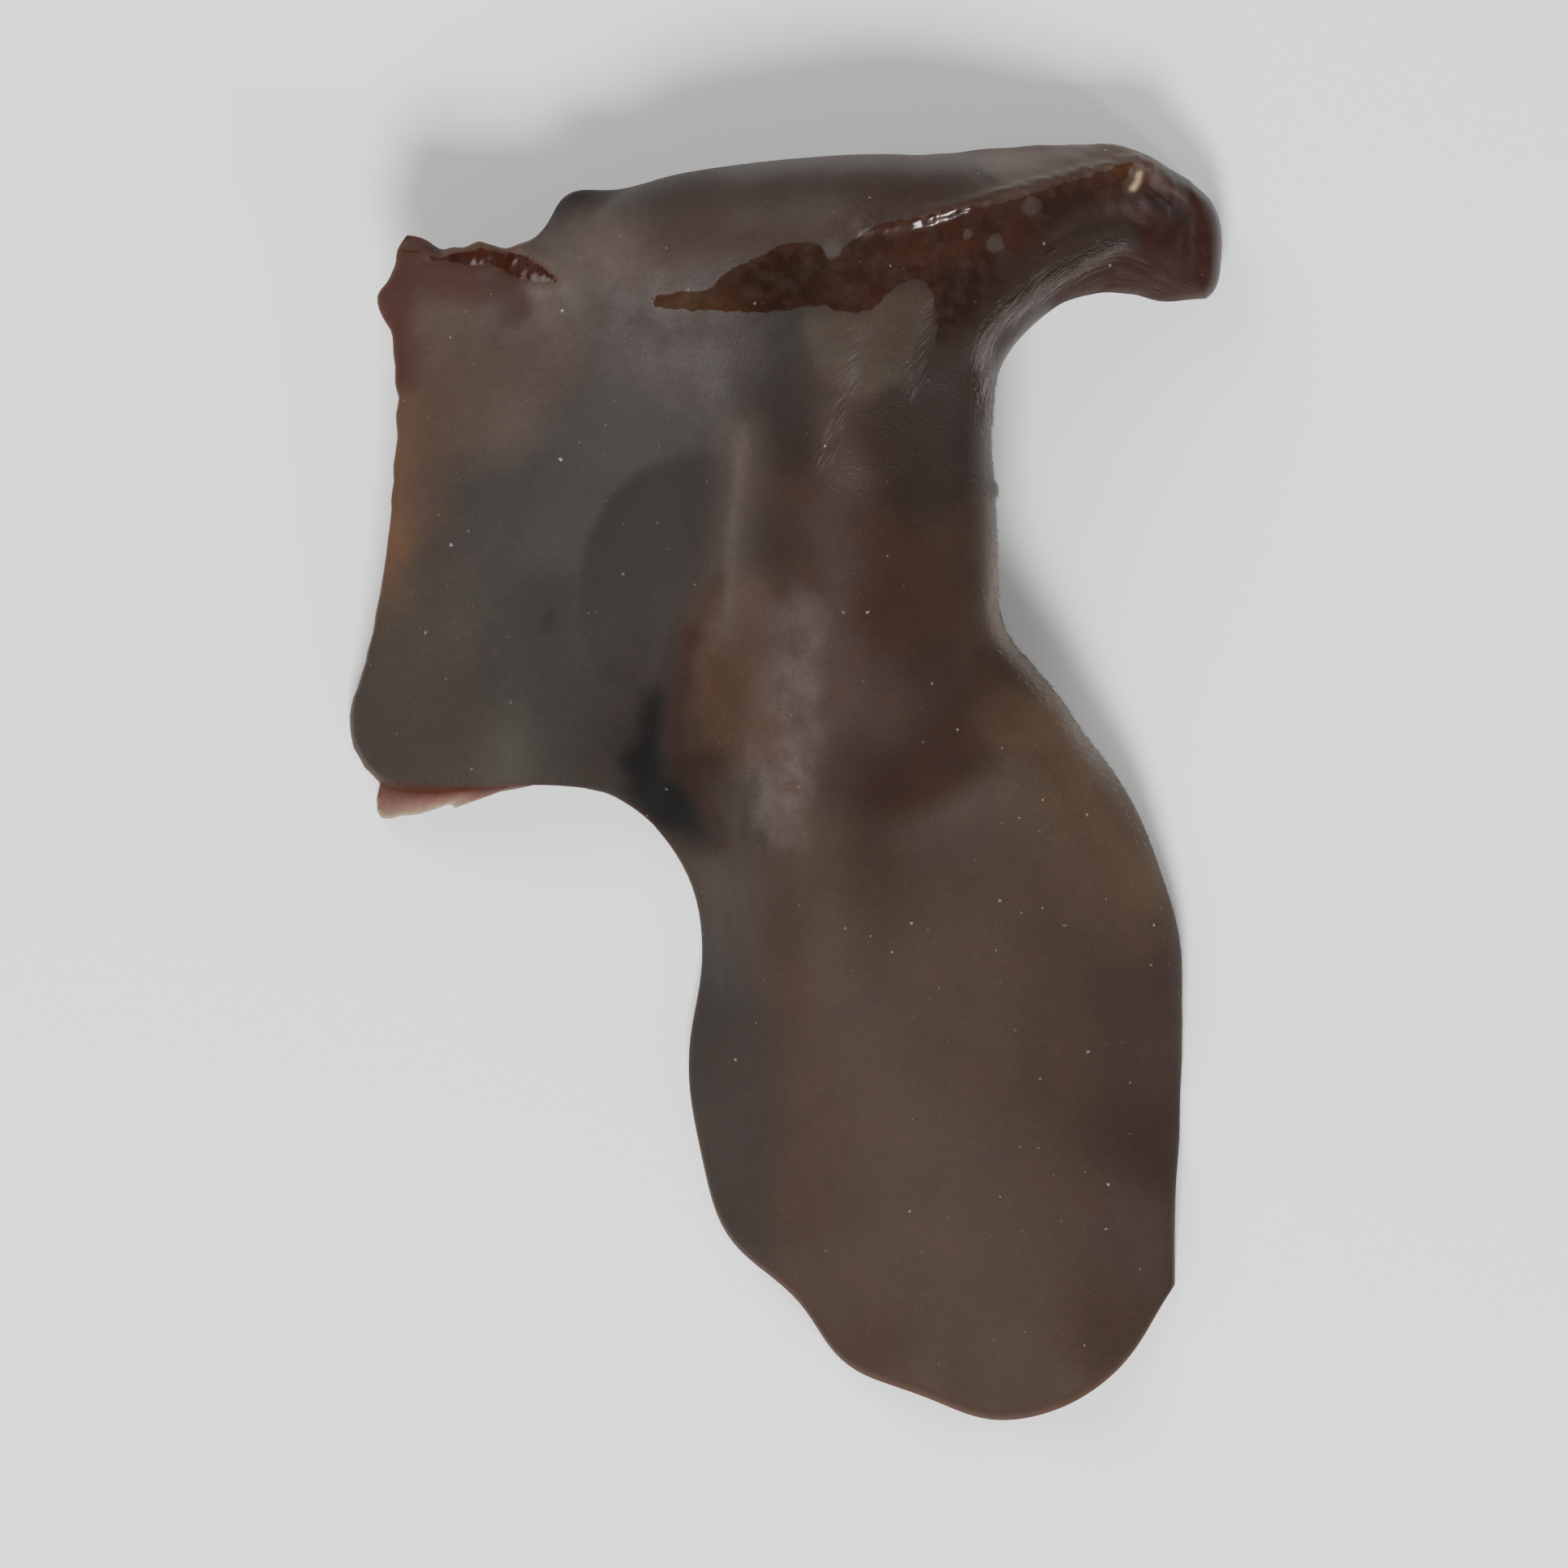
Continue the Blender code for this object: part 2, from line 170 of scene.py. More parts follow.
# Heights of the middle of the sheet, as (x, y, height), from the knob to the lobe.
HEIGHTS = [
    (37.0, 47.4, 4.0), (35.0, 50.6, 4.0), (35.0, 44.8, 4.0), (32.6, 48.0, 4.6),
    (28.6, 52.6, 10.8), (28.2, 49.2, 9.4), (27.6, 46.2, 10.4), (22.5, 52.2, 16.4), (22.0, 48.4, 14.8),
    (21.4, 43.8, 16.4),
    (14.0, 49.4, 19.8), (12.0, 44.0, 19.2), (6.0, 47.4, 20.0), (-3.0, 45.5, 19.0), (-12.0, 43.5, 17.2),
    (-22.0, 43.0, 15.4), (15.0, 38.6, 19.0),
    (8.0, 37.0, 20.4), (4.8, 28.0, 20.8), (2.6, 19.0, 20.8), (0.8, 10.0, 20.2), (-0.2, 1.0, 18.6),
    (-1.0, -7.0, 15.4), (-1.4, -15.0, 11.4), (-1.6, -24.0, 8.0),
    (13.0, 28.0, 18.2), (13.4, 18.0, 17.2), (14.6, 9.0, 16.0), (9.0, 1.0, 16.4),
    (-4.0, 31.0, 16.6), (-5.2, 22.0, 14.4), (-7.0, 13.0, 10.2), (-8.8, 6.0, 6.2), (-9.8, 0.0, 3.2),
    (-9.4, -4.6, 2.0), (-7.0, -9.4, 2.0), (-6.4, -16.0, 2.2), (-7.6, -25.0, 3.6),
    (-14.0, 35.0, 15.6), (-11.0, 25.0, 13.0), (-15.0, 14.0, 10.8), (-17.0, 4.0, 8.2),
    (-25.0, 34.0, 14.4), (-25.0, 22.0, 12.2), (-26.0, 10.0, 9.6), (-27.0, 1.0, 7.6), (-19.0, 0.4, 7.4),
    (-33.0, 45.0, 14.6), (-35.6, 41.0, 12.6), (-34.2, 32.0, 10.6), (-34.6, 22.0, 8.8),
    (-36.4, 11.0, 5.4), (-37.6, 3.4, 1.0),
    (8.0, -6.0, 14.6), (19.0, 0.0, 13.4), (27.0, -3.0, 10.0), (10.0, -17.0, 12.0), (21.0, -15.0, 10.6),
    (30.4, -14.0, 6.4), (4.0, -29.0, 8.8), (16.0, -30.0, 9.4), (26.0, -29.0, 6.4), (10.0, -43.0, 5.8),
    (20.0, -44.0, 5.4),
    (32.0, -20.0, 4.4), (32.2, -29.0, 2.2), (31.8, -37.0, 4.0), (31.6, -45.4, 1.4), (25.0, -53.6, 4.2),
    (18.0, -55.4, 1.2), (11.0, -53.0, 4.0), (4.6, -49.6, 1.2), (-1.0, -43.0, 3.8), (-5.6, -36.0, 1.4),
]


def curve_through(knots, values, place):
    """The smooth curve through the values at the knots, read at each place."""
    knots = np.asarray(knots, float)
    values = np.asarray(values, float)
    slopes = np.gradient(values, knots, axis=0)
    left = np.clip(np.searchsorted(knots, place, side="right") - 1, 0, len(knots) - 2)
    width = (knots[left + 1] - knots[left])[:, None]
    t = (place - knots[left])[:, None] / width
    start = (1 + 2 * t) * (1 - t) ** 2 * values[left] + t * (1 - t) ** 2 * width * slopes[left]
    end = t * t * (3 - 2 * t) * values[left + 1] + t * t * (t - 1) * width * slopes[left + 1]
    return start + end


def edge_at(points, share):
    """The places at these shares of an edge's length."""
    steps = np.linalg.norm(np.diff(points, axis=0), axis=1)
    knots = np.concatenate([[0.0], np.cumsum(steps)])
    return curve_through(knots, points, share * knots[-1])


def hem_at(hem, v):
    """Length, bend radius and turn, in radians, of a hem at each v."""
    table = np.array(hem, float)
    length, radius, turn = curve_through(table[:, 0], table[:, 1:], v).T
    return length, radius, np.radians(np.maximum(turn, 0.0))


def thin_plate(distance):
    """How far a thin plate, held at one place, gives way at a distance from it."""
    return distance**2 * np.log(np.maximum(distance, 1e-6))


def fit_heights():
    """Weights of the smooth surface over all the places whose height is given."""
    places = np.array(HEIGHTS)
    spots = places[:, :2]
    flat = np.hstack([np.ones((len(spots), 1)), spots])
    pull = thin_plate(np.linalg.norm(spots[:, None] - spots[None], axis=2))
    system = np.block([[pull, flat], [flat.T, np.zeros((3, 3))]])
    return spots, np.linalg.solve(system, np.concatenate([places[:, 2], np.zeros(3)]))


SPOTS, WEIGHTS = fit_heights()


def height_at(spot):
    """Height of the middle of the sheet at each place seen from above."""
    pull = thin_plate(np.linalg.norm(spot[:, None] - SPOTS[None], axis=2))
    return pull @ WEIGHTS[:-3] + WEIGHTS[-3] + spot @ WEIGHTS[-2:]


def turn_line(edge, side, hem, v):
    """Where a hem starts, the way out from there, and how steeply the sheet arrives."""
    ahead = edge_at(edge, np.minimum(v + EDGE_STEP, 1.0)) - edge_at(edge, np.maximum(v - EDGE_STEP, 0.0))
    ahead /= np.linalg.norm(ahead, axis=1)[:, None]
    outward = side * np.stack([ahead[:, 1], -ahead[:, 0]], axis=1)
    rim = edge_at(edge, v)
    length, radius, turn = hem_at(hem, v)
    inside = rim - outward * radius[:, None]
    rise = height_at(inside + outward) - height_at(inside - outward)
    slope = np.arctan(-rise / 2)
    swept = np.minimum(np.minimum(turn, length / radius), np.pi / 2 - slope)
    straight = np.maximum(length - radius * swept, 0.0) * np.maximum(np.cos(slope + turn), 0.0)
    reach = radius * (np.sin(slope + swept) - np.sin(slope)) + straight
    return rim - outward * reach[:, None], outward, slope


def settle(upper, right, base, margin):
    """A grid of places between four edges, evened out until no two of its lines cross."""
    u = np.linspace(0.0, 1.0, PLAN_COLUMNS)[:, None, None]
    v = np.linspace(0.0, 1.0, PLAN_ROWS)[None, :, None]
    corners = (1 - v) * ((1 - u) * upper[0] + u * right[0]) + v * ((1 - u) * upper[-1] + u * right[-1])
    grid = (1 - u) * upper + u * right + (1 - v) * base[:, None] + v * margin[:, None] - corners
    for _ in range(SETTLING_STEPS):
        across = (grid[2:, 1:-1] - grid[:-2, 1:-1]) / 2
        along = (grid[1:-1, 2:] - grid[1:-1, :-2]) / 2
        alpha = (along**2).sum(axis=2, keepdims=True)
        gamma = (across**2).sum(axis=2, keepdims=True)
        beta = (across * along).sum(axis=2, keepdims=True)
        cross = grid[2:, 2:] - grid[2:, :-2] - grid[:-2, 2:] + grid[:-2, :-2]
        total = alpha * (grid[2:, 1:-1] + grid[:-2, 1:-1]) + gamma * (grid[1:-1, 2:] + grid[1:-1, :-2])
        grid[1:-1, 1:-1] = (total - beta * cross / 2) / (2 * (alpha + gamma))
    return grid


def fit_plan():
    """The sheet's plan as a grid over u and v, with one row of places added past each edge."""
    u = np.linspace(0.0, 1.0, PLAN_COLUMNS)
    v = np.linspace(0.0, 1.0, PLAN_ROWS)
    upper = turn_line(UPPER_EDGE, 1, UPPER_HEM, v)[0]
    right = turn_line(RIGHT_EDGE, -1, RIGHT_HEM, v)[0]
    fade = np.stack([(1 - u) ** CORNER_FADE, u**CORNER_FADE], axis=1)
    base = upper[0] + (right[0] - upper[0]) * u[:, None]
    margin = edge_at(MARGIN, u)
    margin = margin + fade @ np.stack([upper[-1] - margin[0], right[-1] - margin[-1]])
    grid = settle(upper, right, base, margin)
    grid = np.concatenate([2 * grid[:1] - grid[1:2], grid, 2 * grid[-1:] - grid[-2:-1]])
    return np.concatenate([2 * grid[:, :1] - grid[:, 1:2], grid, 2 * grid[:, -1:] - grid[:, -2:-1]], axis=1)


PLAN = fit_plan()


def cubic_shares(t):
    """Shares of four neighbours at t between the middle two."""
    return [
        (-t + 2 * t**2 - t**3) / 2, (2 - 5 * t**2 + 3 * t**3) / 2,
        (t + 4 * t**2 - 3 * t**3) / 2, (t**3 - t**2) / 2,
    ]


def plan_at(u, v):
    """The sheet as seen from above."""
    column = u * (PLAN_COLUMNS - 1)
    row = v * (PLAN_ROWS - 1)
    left = np.clip(column.astype(int), 0, PLAN_COLUMNS - 2)
    low = np.clip(row.astype(int), 0, PLAN_ROWS - 2)
    spot = np.zeros((len(u), 2))
    for i, share in enumerate(cubic_shares(column - left)):
        for j, other in enumerate(cubic_shares(row - low)):
            spot += (share * other)[:, None] * PLAN[left + i, low + j]
    return spot


def hem_points(edge, side, hem, u, down, v):
    """Places on a hem, down being the share of its length from the turn line."""
    outward, slope = turn_line(edge, side, hem, v)[1:]
    line = plan_at(np.full(len(v), u), v)
    length, radius, turn = hem_at(hem, v)
    run = down * length
    swept = np.minimum(run / radius, turn)
    straight = run - radius * swept
    heading = slope + swept
    out = radius * (np.sin(heading) - np.sin(slope)) + straight * np.cos(heading)
    drop = radius * (np.cos(slope) - np.cos(heading)) + straight * np.sin(heading)
    return np.column_stack([line + outward * out[:, None], height_at(line) - drop])


def fan_at(a, v):
    """The middle of the sheet before its base is drawn together."""
    body = 1 - UPPER_HEM_SHARE - RIGHT_HEM_SHARE
    u = (a - UPPER_HEM_SHARE) / body
    spot = plan_at(np.clip(u, 0.0, 1.0), v)
    points = np.column_stack([spot, height_at(spot)])
    upper = u < 0
    right = u > 1
    if upper.any():
        down = -u[upper] * body / UPPER_HEM_SHARE
        points[upper] = hem_points(UPPER_EDGE, 1, UPPER_HEM, 0.0, down, v[upper])
    if right.any():
        down = (u[right] - 1) * body / RIGHT_HEM_SHARE
        points[right] = hem_points(RIGHT_EDGE, -1, RIGHT_HEM, 1.0, down, v[right])
    return points


def sheet_at(a, v):
    """The middle of the sheet, which lies flat where it comes low."""
    end = np.column_stack([edge_at(BASE_EDGE, a), np.full(len(a), KNOB_MIDDLE)])
    pull = np.clip(1 - v / KNOB_LENGTH, 0.0, 1.0)[:, None] ** 3
    points = fan_at(a, v) + pull * (end - fan_at(a, np.zeros(len(a))))
    above = points[:, 2] - LYING_HEIGHT
    points[:, 2] = LYING_HEIGHT + (above + np.sqrt(above**2 + LYING_SOFTNESS**2)) / 2
    return points


# What the drawing of the solid leaves out, as lines and outlines on the page in millimetres. First
# come the crests on both sides of the wet trough, and the crease where the panel meets the fold.
UPPER_CREST = [
    (-5.7, 45.4), (2.0, 47.1), (6.6, 48.1), (10.4, 48.8), (14.8, 50.0), (17.3, 50.6), (19.9, 51.5),
    (23.9, 52.5), (26.2, 53.1), (28.8, 53.8), (30.6, 54.3),
]
RIGHT_CREST = [
    (29.0, 46.7), (27.0, 45.7), (25.0, 44.5), (22.9, 43.4), (20.9, 42.0), (19.3, 40.8), (18.1, 39.5),
    (17.4, 38.3), (17.3, 36.5), (17.6, 34.4), (17.9, 31.9),
]
FOLD_LINE = [(-4.0, 30.0), (-4.4, 25.0), (-5.0, 19.0), (-5.2, 15.5), (-5.5, 13.4)]

# The wet trough with its dry islands, and the torn slit in the corner.
WET_TROUGH = [
    (-11.8, 42.3), (-10.4, 42.6), (-6.9, 42.8), (-5.8, 43.9), (-3.6, 45.2), (-0.4, 46.7), (1.8, 47.1),
    (3.4, 46.2), (5.1, 46.4), (6.3, 47.6), (8.2, 48.4), (10.4, 48.8), (12.7, 49.3), (14.8, 49.7),
    (17.3, 50.0), (19.9, 50.8), (21.4, 51.3), (23.9, 52.0), (26.2, 52.7), (28.8, 53.7), (30.3, 54.1),
    (31.4, 50.0), (29.6, 49.4), (27.2, 48.0), (25.2, 46.4), (23.2, 45.0), (21.6, 43.8), (20.2, 41.8),
    (18.8, 39.8), (17.4, 38.2), (16.4, 36.6), (14.0, 36.2), (12.9, 38.3), (13.1, 40.1), (12.8, 42.0),
    (12.5, 43.0), (11.7, 43.6), (9.8, 43.3), (8.8, 42.5), (7.9, 41.4), (7.1, 40.9), (5.0, 40.7),
    (3.4, 41.2), (1.8, 41.2), (-0.4, 40.9), (-3.6, 40.7), (-6.9, 41.0), (-9.0, 40.9), (-11.6, 41.3),
]
SOFT_WET_SIDE = [
    (33.0, 49.6), (30.0, 49.0), (27.2, 48.0), (25.2, 46.4), (23.2, 45.0), (21.6, 43.8), (20.2, 41.8),
    (18.8, 39.8), (17.4, 38.2), (16.4, 36.6), (14.0, 36.2),
]
DRY_ISLANDS = [(18.3, 46.8, 0.8), (21.5, 50.2, 0.85), (15.8, 47.7, 0.45), (3.9, 46.4, 0.9)]
SLIT = [
    (-33.0, 46.2), (-32.6, 46.5), (-31.0, 46.0), (-29.2, 46.1), (-27.8, 46.3), (-26.7, 46.4),
    (-24.9, 46.2), (-23.7, 46.1), (-22.6, 45.7), (-21.8, 45.1), (-20.7, 44.3), (-20.0, 43.7),
    (-20.3, 43.4), (-22.1, 43.5), (-24.1, 43.9), (-24.9, 44.6), (-26.0, 45.1), (-27.6, 44.8),
    (-29.2, 45.2), (-31.1, 45.5), (-32.8, 46.0),
]

# Grooves where the lobe leaves the fold, and the ridge, flap, tab and scar on the knob.
LOBE_GROOVES = [
    [(1.7, -2.3), (5.9, -1.1), (10.0, -0.5), (13.2, 0.8), (16.3, 2.3), (20.6, 3.4)],
    [(-2.4, -11.9), (0.8, -10.9), (3.4, -9.6), (6.4, -8.8)],
]
KNOB_RIDGE = [(31.6, 54.0), (33.1, 53.2), (34.9, 52.2), (36.4, 51.3), (37.3, 50.8)]
KNOB_FLAP = [(31.6, 53.9), (32.0, 53.2), (31.7, 52.0), (32.6, 51.3), (33.6, 50.4)]
KNOB_TAB = [(31.6, 53.9), (33.2, 53.1), (34.8, 50.7), (33.4, 51.2), (32.2, 51.6), (31.6, 52.2)]
KNOB_SCAR = [(31.0, 53.1), (30.9, 52.5), (30.5, 51.8)]

# Areas painted apart: the knob's bare skin and the outer wall of the neck in their own colours, the
# valley beside the fold in painted shade, and the notch at its foot in painted deep shadow, with
# painted shade around it.
KNOB_SKIN = [
    (31.2, 54.2), (33.1, 53.2), (34.9, 52.2), (37.3, 50.8), (39.0, 49.0), (39.0, 44.0), (37.0, 41.0),
    (30.0, 41.0), (27.0, 43.4), (29.0, 45.4), (30.6, 46.2), (31.0, 47.7), (30.6, 49.0), (29.8, 50.2),
    (30.5, 51.5),
]
NECK_WALL = [
    (22.9, 43.2), (25.0, 44.3), (27.0, 45.5), (29.0, 46.4), (31.0, 46.2), (34.0, 46.0), (36.0, 44.0),
    (36.5, 41.0), (30.0, 41.0), (25.6, 41.0), (23.0, 40.4),
]
VALLEY_SHADE = [
    (-4.4, 29.3), (-6.9, 29.3), (-9.8, 29.0), (-13.3, 27.5), (-16.2, 25.0), (-18.0, 21.4), (-18.9, 17.2),
    (-19.0, 12.9), (-17.1, 8.6), (-13.3, 6.4), (-10.6, 7.5), (-9.0, 11.3), (-6.9, 14.5), (-5.4, 17.7),
    (-4.7, 23.1),
]
NOTCH_SHADOW = [
    (-11.0, 8.0), (-10.6, 5.3), (-10.8, 3.2), (-10.2, 0.8), (-8.4, -1.5), (-6.8, -4.0), (-6.3, -5.4),
    (-7.6, -5.8), (-9.9, -4.8), (-12.6, -3.4), (-14.0, -1.0), (-14.2, 1.4), (-13.2, 4.2), (-12.2, 7.2),
]
NOTCH_SHADE = [
    (-10.4, 8.4), (-10.4, 5.3), (-10.8, 3.2), (-10.2, 0.8), (-8.4, -1.5), (-6.6, -4.4), (-7.2, -5.8),
    (-12.6, -3.4), (-15.2, -1.4), (-15.4, 1.0), (-13.2, 4.6), (-11.6, 7.6),
]
FLANK_EDGE = [
    (-8.4, 12.6), (-9.2, 9.4), (-9.9, 5.4), (-10.1, 3.2), (-9.2, 0.8), (-7.7, -1.3), (-6.4, -3.7),
    (-5.8, -6.0),
]

# Lines along which the skin is dull, powdery or streaked, or painted with highlight, and two lighter
# and darker patches.
NOTCH_LINE = [(-9.0, 13.0), (-10.2, 8.0), (-10.8, 3.5), (-9.6, -1.0), (-7.6, -4.4)]
SHEEN_LINE = [(3.5, 10.0), (2.5, 0.0), (2.5, -9.0)]
RIDGE_HIGHLIGHT_LINE = [(1.0, 14.0), (0.2, 6.0), (-0.4, 0.0), (-0.8, -3.5)]
FOLD_FOOT = [(18.6, 7.0), (15.4, 3.4), (12.0, 0.4), (9.6, -0.8)]
PANEL_LOW = [(-21.0, 15.0), (-20.4, 8.0), (-19.4, 1.0)]
GLINT_LINE = [(0.5, 2.4), (0.1, -1.4)]
CORNER_HAZE = [(-20, 44), (-13, 42), (-7, 38)]
DULL_CORNER = [(-34.4, 40), (-33.2, 44.6), (-24, 43)]
LOZENGE = [
    (8.8, 42.8), (11.7, 43.3), (12.7, 42.0), (12.5, 39.8), (11.7, 37.1), (10.4, 34.7), (7.1, 32.8),
    (4.4, 33.4), (2.3, 36.0), (1.2, 39.3), (1.8, 40.9), (6.1, 40.8),
]
BROWN_BLOT = [(7.1, 31.7), (9.3, 33.4), (12.5, 30.7), (14.7, 26.4), (10.4, 25.3), (7.1, 27.4)]
STREAKS = [
    [(6.3, 38.7), (5.5, 35.5), (4.4, 31.7), (3.3, 27.7)], [(12.5, 41.7), (12.0, 38.2), (10.8, 33.9)],
]

# Small pulls on the torn corner, the panel's left side, the end of the base and the waist: (x, y,
# reach, and how far the skin moves in x and y).
PULLS = [
    (-33.2, 46.4, 1.5, -0.9, 0.0), (-30.2, 47.2, 1.1, 0.0, -0.8), (-28.4, 47.2, 0.8, 0.0, -0.4),
    (-26.9, 47.2, 0.6, 0.0, 0.3), (-24.6, 47.2, 0.9, 0.0, -0.4), (-35.6, 42.0, 1.0, -0.3, 0.0),
    (-35.0, 39.2, 0.8, 0.3, 0.0), (-34.3, 33.2, 0.7, 0.3, 0.0), (-34.6, 30.0, 0.9, 0.2, 0.0),
    (36.8, 43.6, 1.8, 0.5, -0.7), (18.4, 25.4, 0.7, 0.5, 0.0),
]

# How far the margin's right corner draws back, as a share of v. The flap on the upper hem: where on
# v, how wide, and how far it is pulled. The lip under the cut edge: its length and its ends on u.
RIGHT_CORNER = 0.020
FLAP_V = 0.780
FLAP_WIDTH = 0.050
FLAP_PULL = (-1.1, 2.0)
LIP_LENGTH = 4.4
LIP_START = 0.300
LIP_END = 0.404


def distance_to(line, spots):
    """Distance from each spot to a drawn line."""
    nearest = np.full(len(spots), np.inf)
    for start, end in zip(line[:-1], line[1:]):
        start = np.array(start)
        way = np.array(end) - start
        t = np.clip((spots - start) @ way / (way @ way), 0.0, 1.0)
        nearest = np.minimum(nearest, np.linalg.norm(spots - start - t[:, None] * way, axis=1))
    return nearest


def depth_inside(outline, spots):
    """How far each spot lies inside a drawn outline. It is negative outside."""
    closed = outline + outline[:1]
    crossings = np.zeros(len(spots), int)
    for (x0, y0), (x1, y1) in zip(closed[:-1], closed[1:]):
        between = (y0 > spots[:, 1]) != (y1 > spots[:, 1])
        reach = x0 + (spots[:, 1] - y0) * (x1 - x0) / (y1 - y0 if y1 != y0 else 1.0)
        crossings += between & (spots[:, 0] < reach)
    return np.where(crossings % 2 == 1, 1.0, -1.0) * distance_to(closed, spots)


def ripple(places, wavelength, seed):
    """Smooth unevenness of about this wavelength, mostly between -2 and 2."""
    random = np.random.default_rng(seed)
    ways = random.normal(size=(24, places.shape[1]))
    ways /= np.linalg.norm(ways, axis=1)[:, None]
    ways *= (2 * np.pi / wavelength) * random.uniform(0.7, 1.4, 24)[:, None]
    turns = random.uniform(0.0, 2 * np.pi, 24)
    return np.cos(places @ ways.T + turns).sum(axis=1) / math.sqrt(12)


def ease(low, high, value):
    """0 below low, 1 above high, and smooth between."""
    t = np.clip((value - low) / (high - low), 0.0, 1.0)
    return t * t * (3 - 2 * t)


def bump(distance, width):
    """1 at no distance, and falling smoothly to nearly 0 at twice the width."""
    return np.exp(-((distance / width) ** 2))


def smoothed(grid, times):
    """A grid whose places are drawn a little towards their neighbours, the outer ones only sideways."""
    for _ in range(times):
        grid[1:-1] = (grid[:-2] + 2 * grid[1:-1] + grid[2:]) / 4
        grid[:, 1:-1] = (grid[:, :-2] + 2 * grid[:, 1:-1] + grid[:, 2:]) / 4
    return grid


def run_along(grid, axis):
    """Distance along the grid's lines, from the first place of each."""
    steps = np.linalg.norm(np.diff(grid, axis=axis), axis=2)
    return np.insert(np.cumsum(steps, axis=axis), 0, 0.0, axis=axis)


def crowded(count, crowding):
    """Shares from 0 to 1 that lie closer together near both ends."""
    share = np.linspace(0.0, 1.0, count + 1)
    return share - crowding * np.sin(2 * np.pi * share) / (2 * np.pi)


def values_of(items, name, width=1, kind=float):
    """One value, or one row of them, for each item of a mesh."""
    values = np.empty(len(items) * width, kind)
    items.foreach_get(name, values)
    return values.reshape(-1, width) if width > 1 else values


# The middle of the sheet as an even grid: the columns are spaced by their distance along each row.
COLUMNS = 190
ROWS = 240
FINE_COLUMNS = 500
COLUMN_CROWDING = 0.3
ROW_CROWDING = 0.4
SMOOTHING = 6
KNOB_RIM_SHARE = 0.15
KNOB_ROUND_END = 0.45
EVENING = 80

across_share = crowded(COLUMNS, COLUMN_CROWDING)
row_v = crowded(ROWS, ROW_CROWDING)
fine_a = np.linspace(0.0, 1.0, FINE_COLUMNS)
grid_a = np.empty((COLUMNS + 1, ROWS + 1))
for row, row_value in enumerate(row_v):
    run = run_along(sheet_at(fine_a, np.full(FINE_COLUMNS, row_value))[None], 1)[0]
    grid_a[:, row] = np.interp(across_share * run[-1], run, fine_a)
grid_v = np.tile(row_v, (COLUMNS + 1, 1))
grid_v -= RIGHT_CORNER * np.clip(1 - (1 - grid_a) / RIGHT_HEM_SHARE, 0.0, 1.0) * grid_v**12
grid = smoothed(sheet_at(grid_a.ravel(), grid_v.ravel()).reshape(*grid_a.shape, 3), SMOOTHING)
grid_ahead = np.gradient(grid, axis=1)
grid_normal = smoothed(np.cross(grid_ahead, np.gradient(grid, axis=0)), SMOOTHING)
grid_normal /= np.linalg.norm(grid_normal, axis=2)[..., None]
grid_ahead /= np.linalg.norm(grid_ahead, axis=2)[..., None]
from_hem = run_along(grid, 0)
from_base = run_along(grid, 1)

mesh = bpy.data.meshes.new("ear_flesh")
bm = bmesh.new()
bmesh.ops.create_grid(bm, x_segments=COLUMNS, y_segments=ROWS, size=0.5)
bmesh.ops.solidify(bm, geom=bm.faces[:], thickness=0.1)

# The slab's side walls are made in another order each run, so they are sorted behind its two skins.
bm.verts.index_update()
bm.faces.index_update()
SKIN_FACES = 2 * COLUMNS * ROWS


def face_order(face):
    """The place of a face in the list: as it is for a skin, and by its corners for a wall."""
    if face.index < SKIN_FACES:
        return face.index
    corners = [vertex.index for vertex in face.verts]
    return SKIN_FACES + min(corners) * len(bm.verts) + max(corners)


bm.faces.sort(key=face_order)
bm.to_mesh(mesh)
bm.free()

flat = values_of(mesh.vertices, "co", 3)
column = np.rint((flat[:, 0] + 0.5) * COLUMNS).astype(int)
row = np.rint((flat[:, 1] + 0.5) * ROWS).astype(int)
side = np.where(flat[:, 2] > flat[:, 2].mean(), 1.0, -1.0)
top = side > 0
a = grid_a[column, row]
v = grid_v[column, row]
u = (a - UPPER_HEM_SHARE) / (1 - UPPER_HEM_SHARE - RIGHT_HEM_SHARE)
past_upper = np.clip(1 - a / UPPER_HEM_SHARE, 0.0, 1.0)
middle = grid[column, row]
normal = grid_normal[column, row]
ahead = grid_ahead[column, row]
upright = (np.clip(1 - v / KNOB_LENGTH, 0.0, 1.0) ** 1.5)[:, None]
normal = normal * (1 - upright) + np.array([0.0, 0.0, 1.0]) * upright
margin_rim = (from_base[:, -1:] - from_base)[column, row]
hem_rim = np.minimum(from_hem, from_hem[-1:] - from_hem)[column, row]
rim = np.minimum(np.minimum(hem_rim, margin_rim), from_base[column, row])

# Its thickness: a thick base, a thinner margin, and rounded rims.
body = SHEET_THICKNESS + (MARGIN_THICKNESS - SHEET_THICKNESS) * v**2
thin = ease(KNOB_HOLD, KNOB_LENGTH, v)
body = KNOB_THICKNESS + (body - KNOB_THICKNESS) * thin
rounding = KNOB_ROUND_END + (KNOB_ROUNDING - KNOB_ROUND_END) * thin
near = 1 - np.clip(rim / np.maximum(RIM_WIDTH, body * rounding), 0.0, 1.0)
rim_share = KNOB_RIM_SHARE + (RIM_SHARE - KNOB_RIM_SHARE) * thin
half = body * (rim_share + (1 - rim_share) * np.sqrt(1 - near**2)) / 2

# Near the thick base, the trough would fold into itself above and the crests below, so both sides are
# evened out there.
outer = middle + normal * (side * half)[:, None]
share = ((1 - ease(0.25, 0.45, v)) * ease(0.8, 3.0, rim))[:, None]
for face in (top, ~top):
    skin = np.empty_like(grid)
    skin[column[face], row[face]] = outer[face]
    evened = smoothed(skin, EVENING)[column, row]
    outer[face] += (share * (evened - outer))[face]

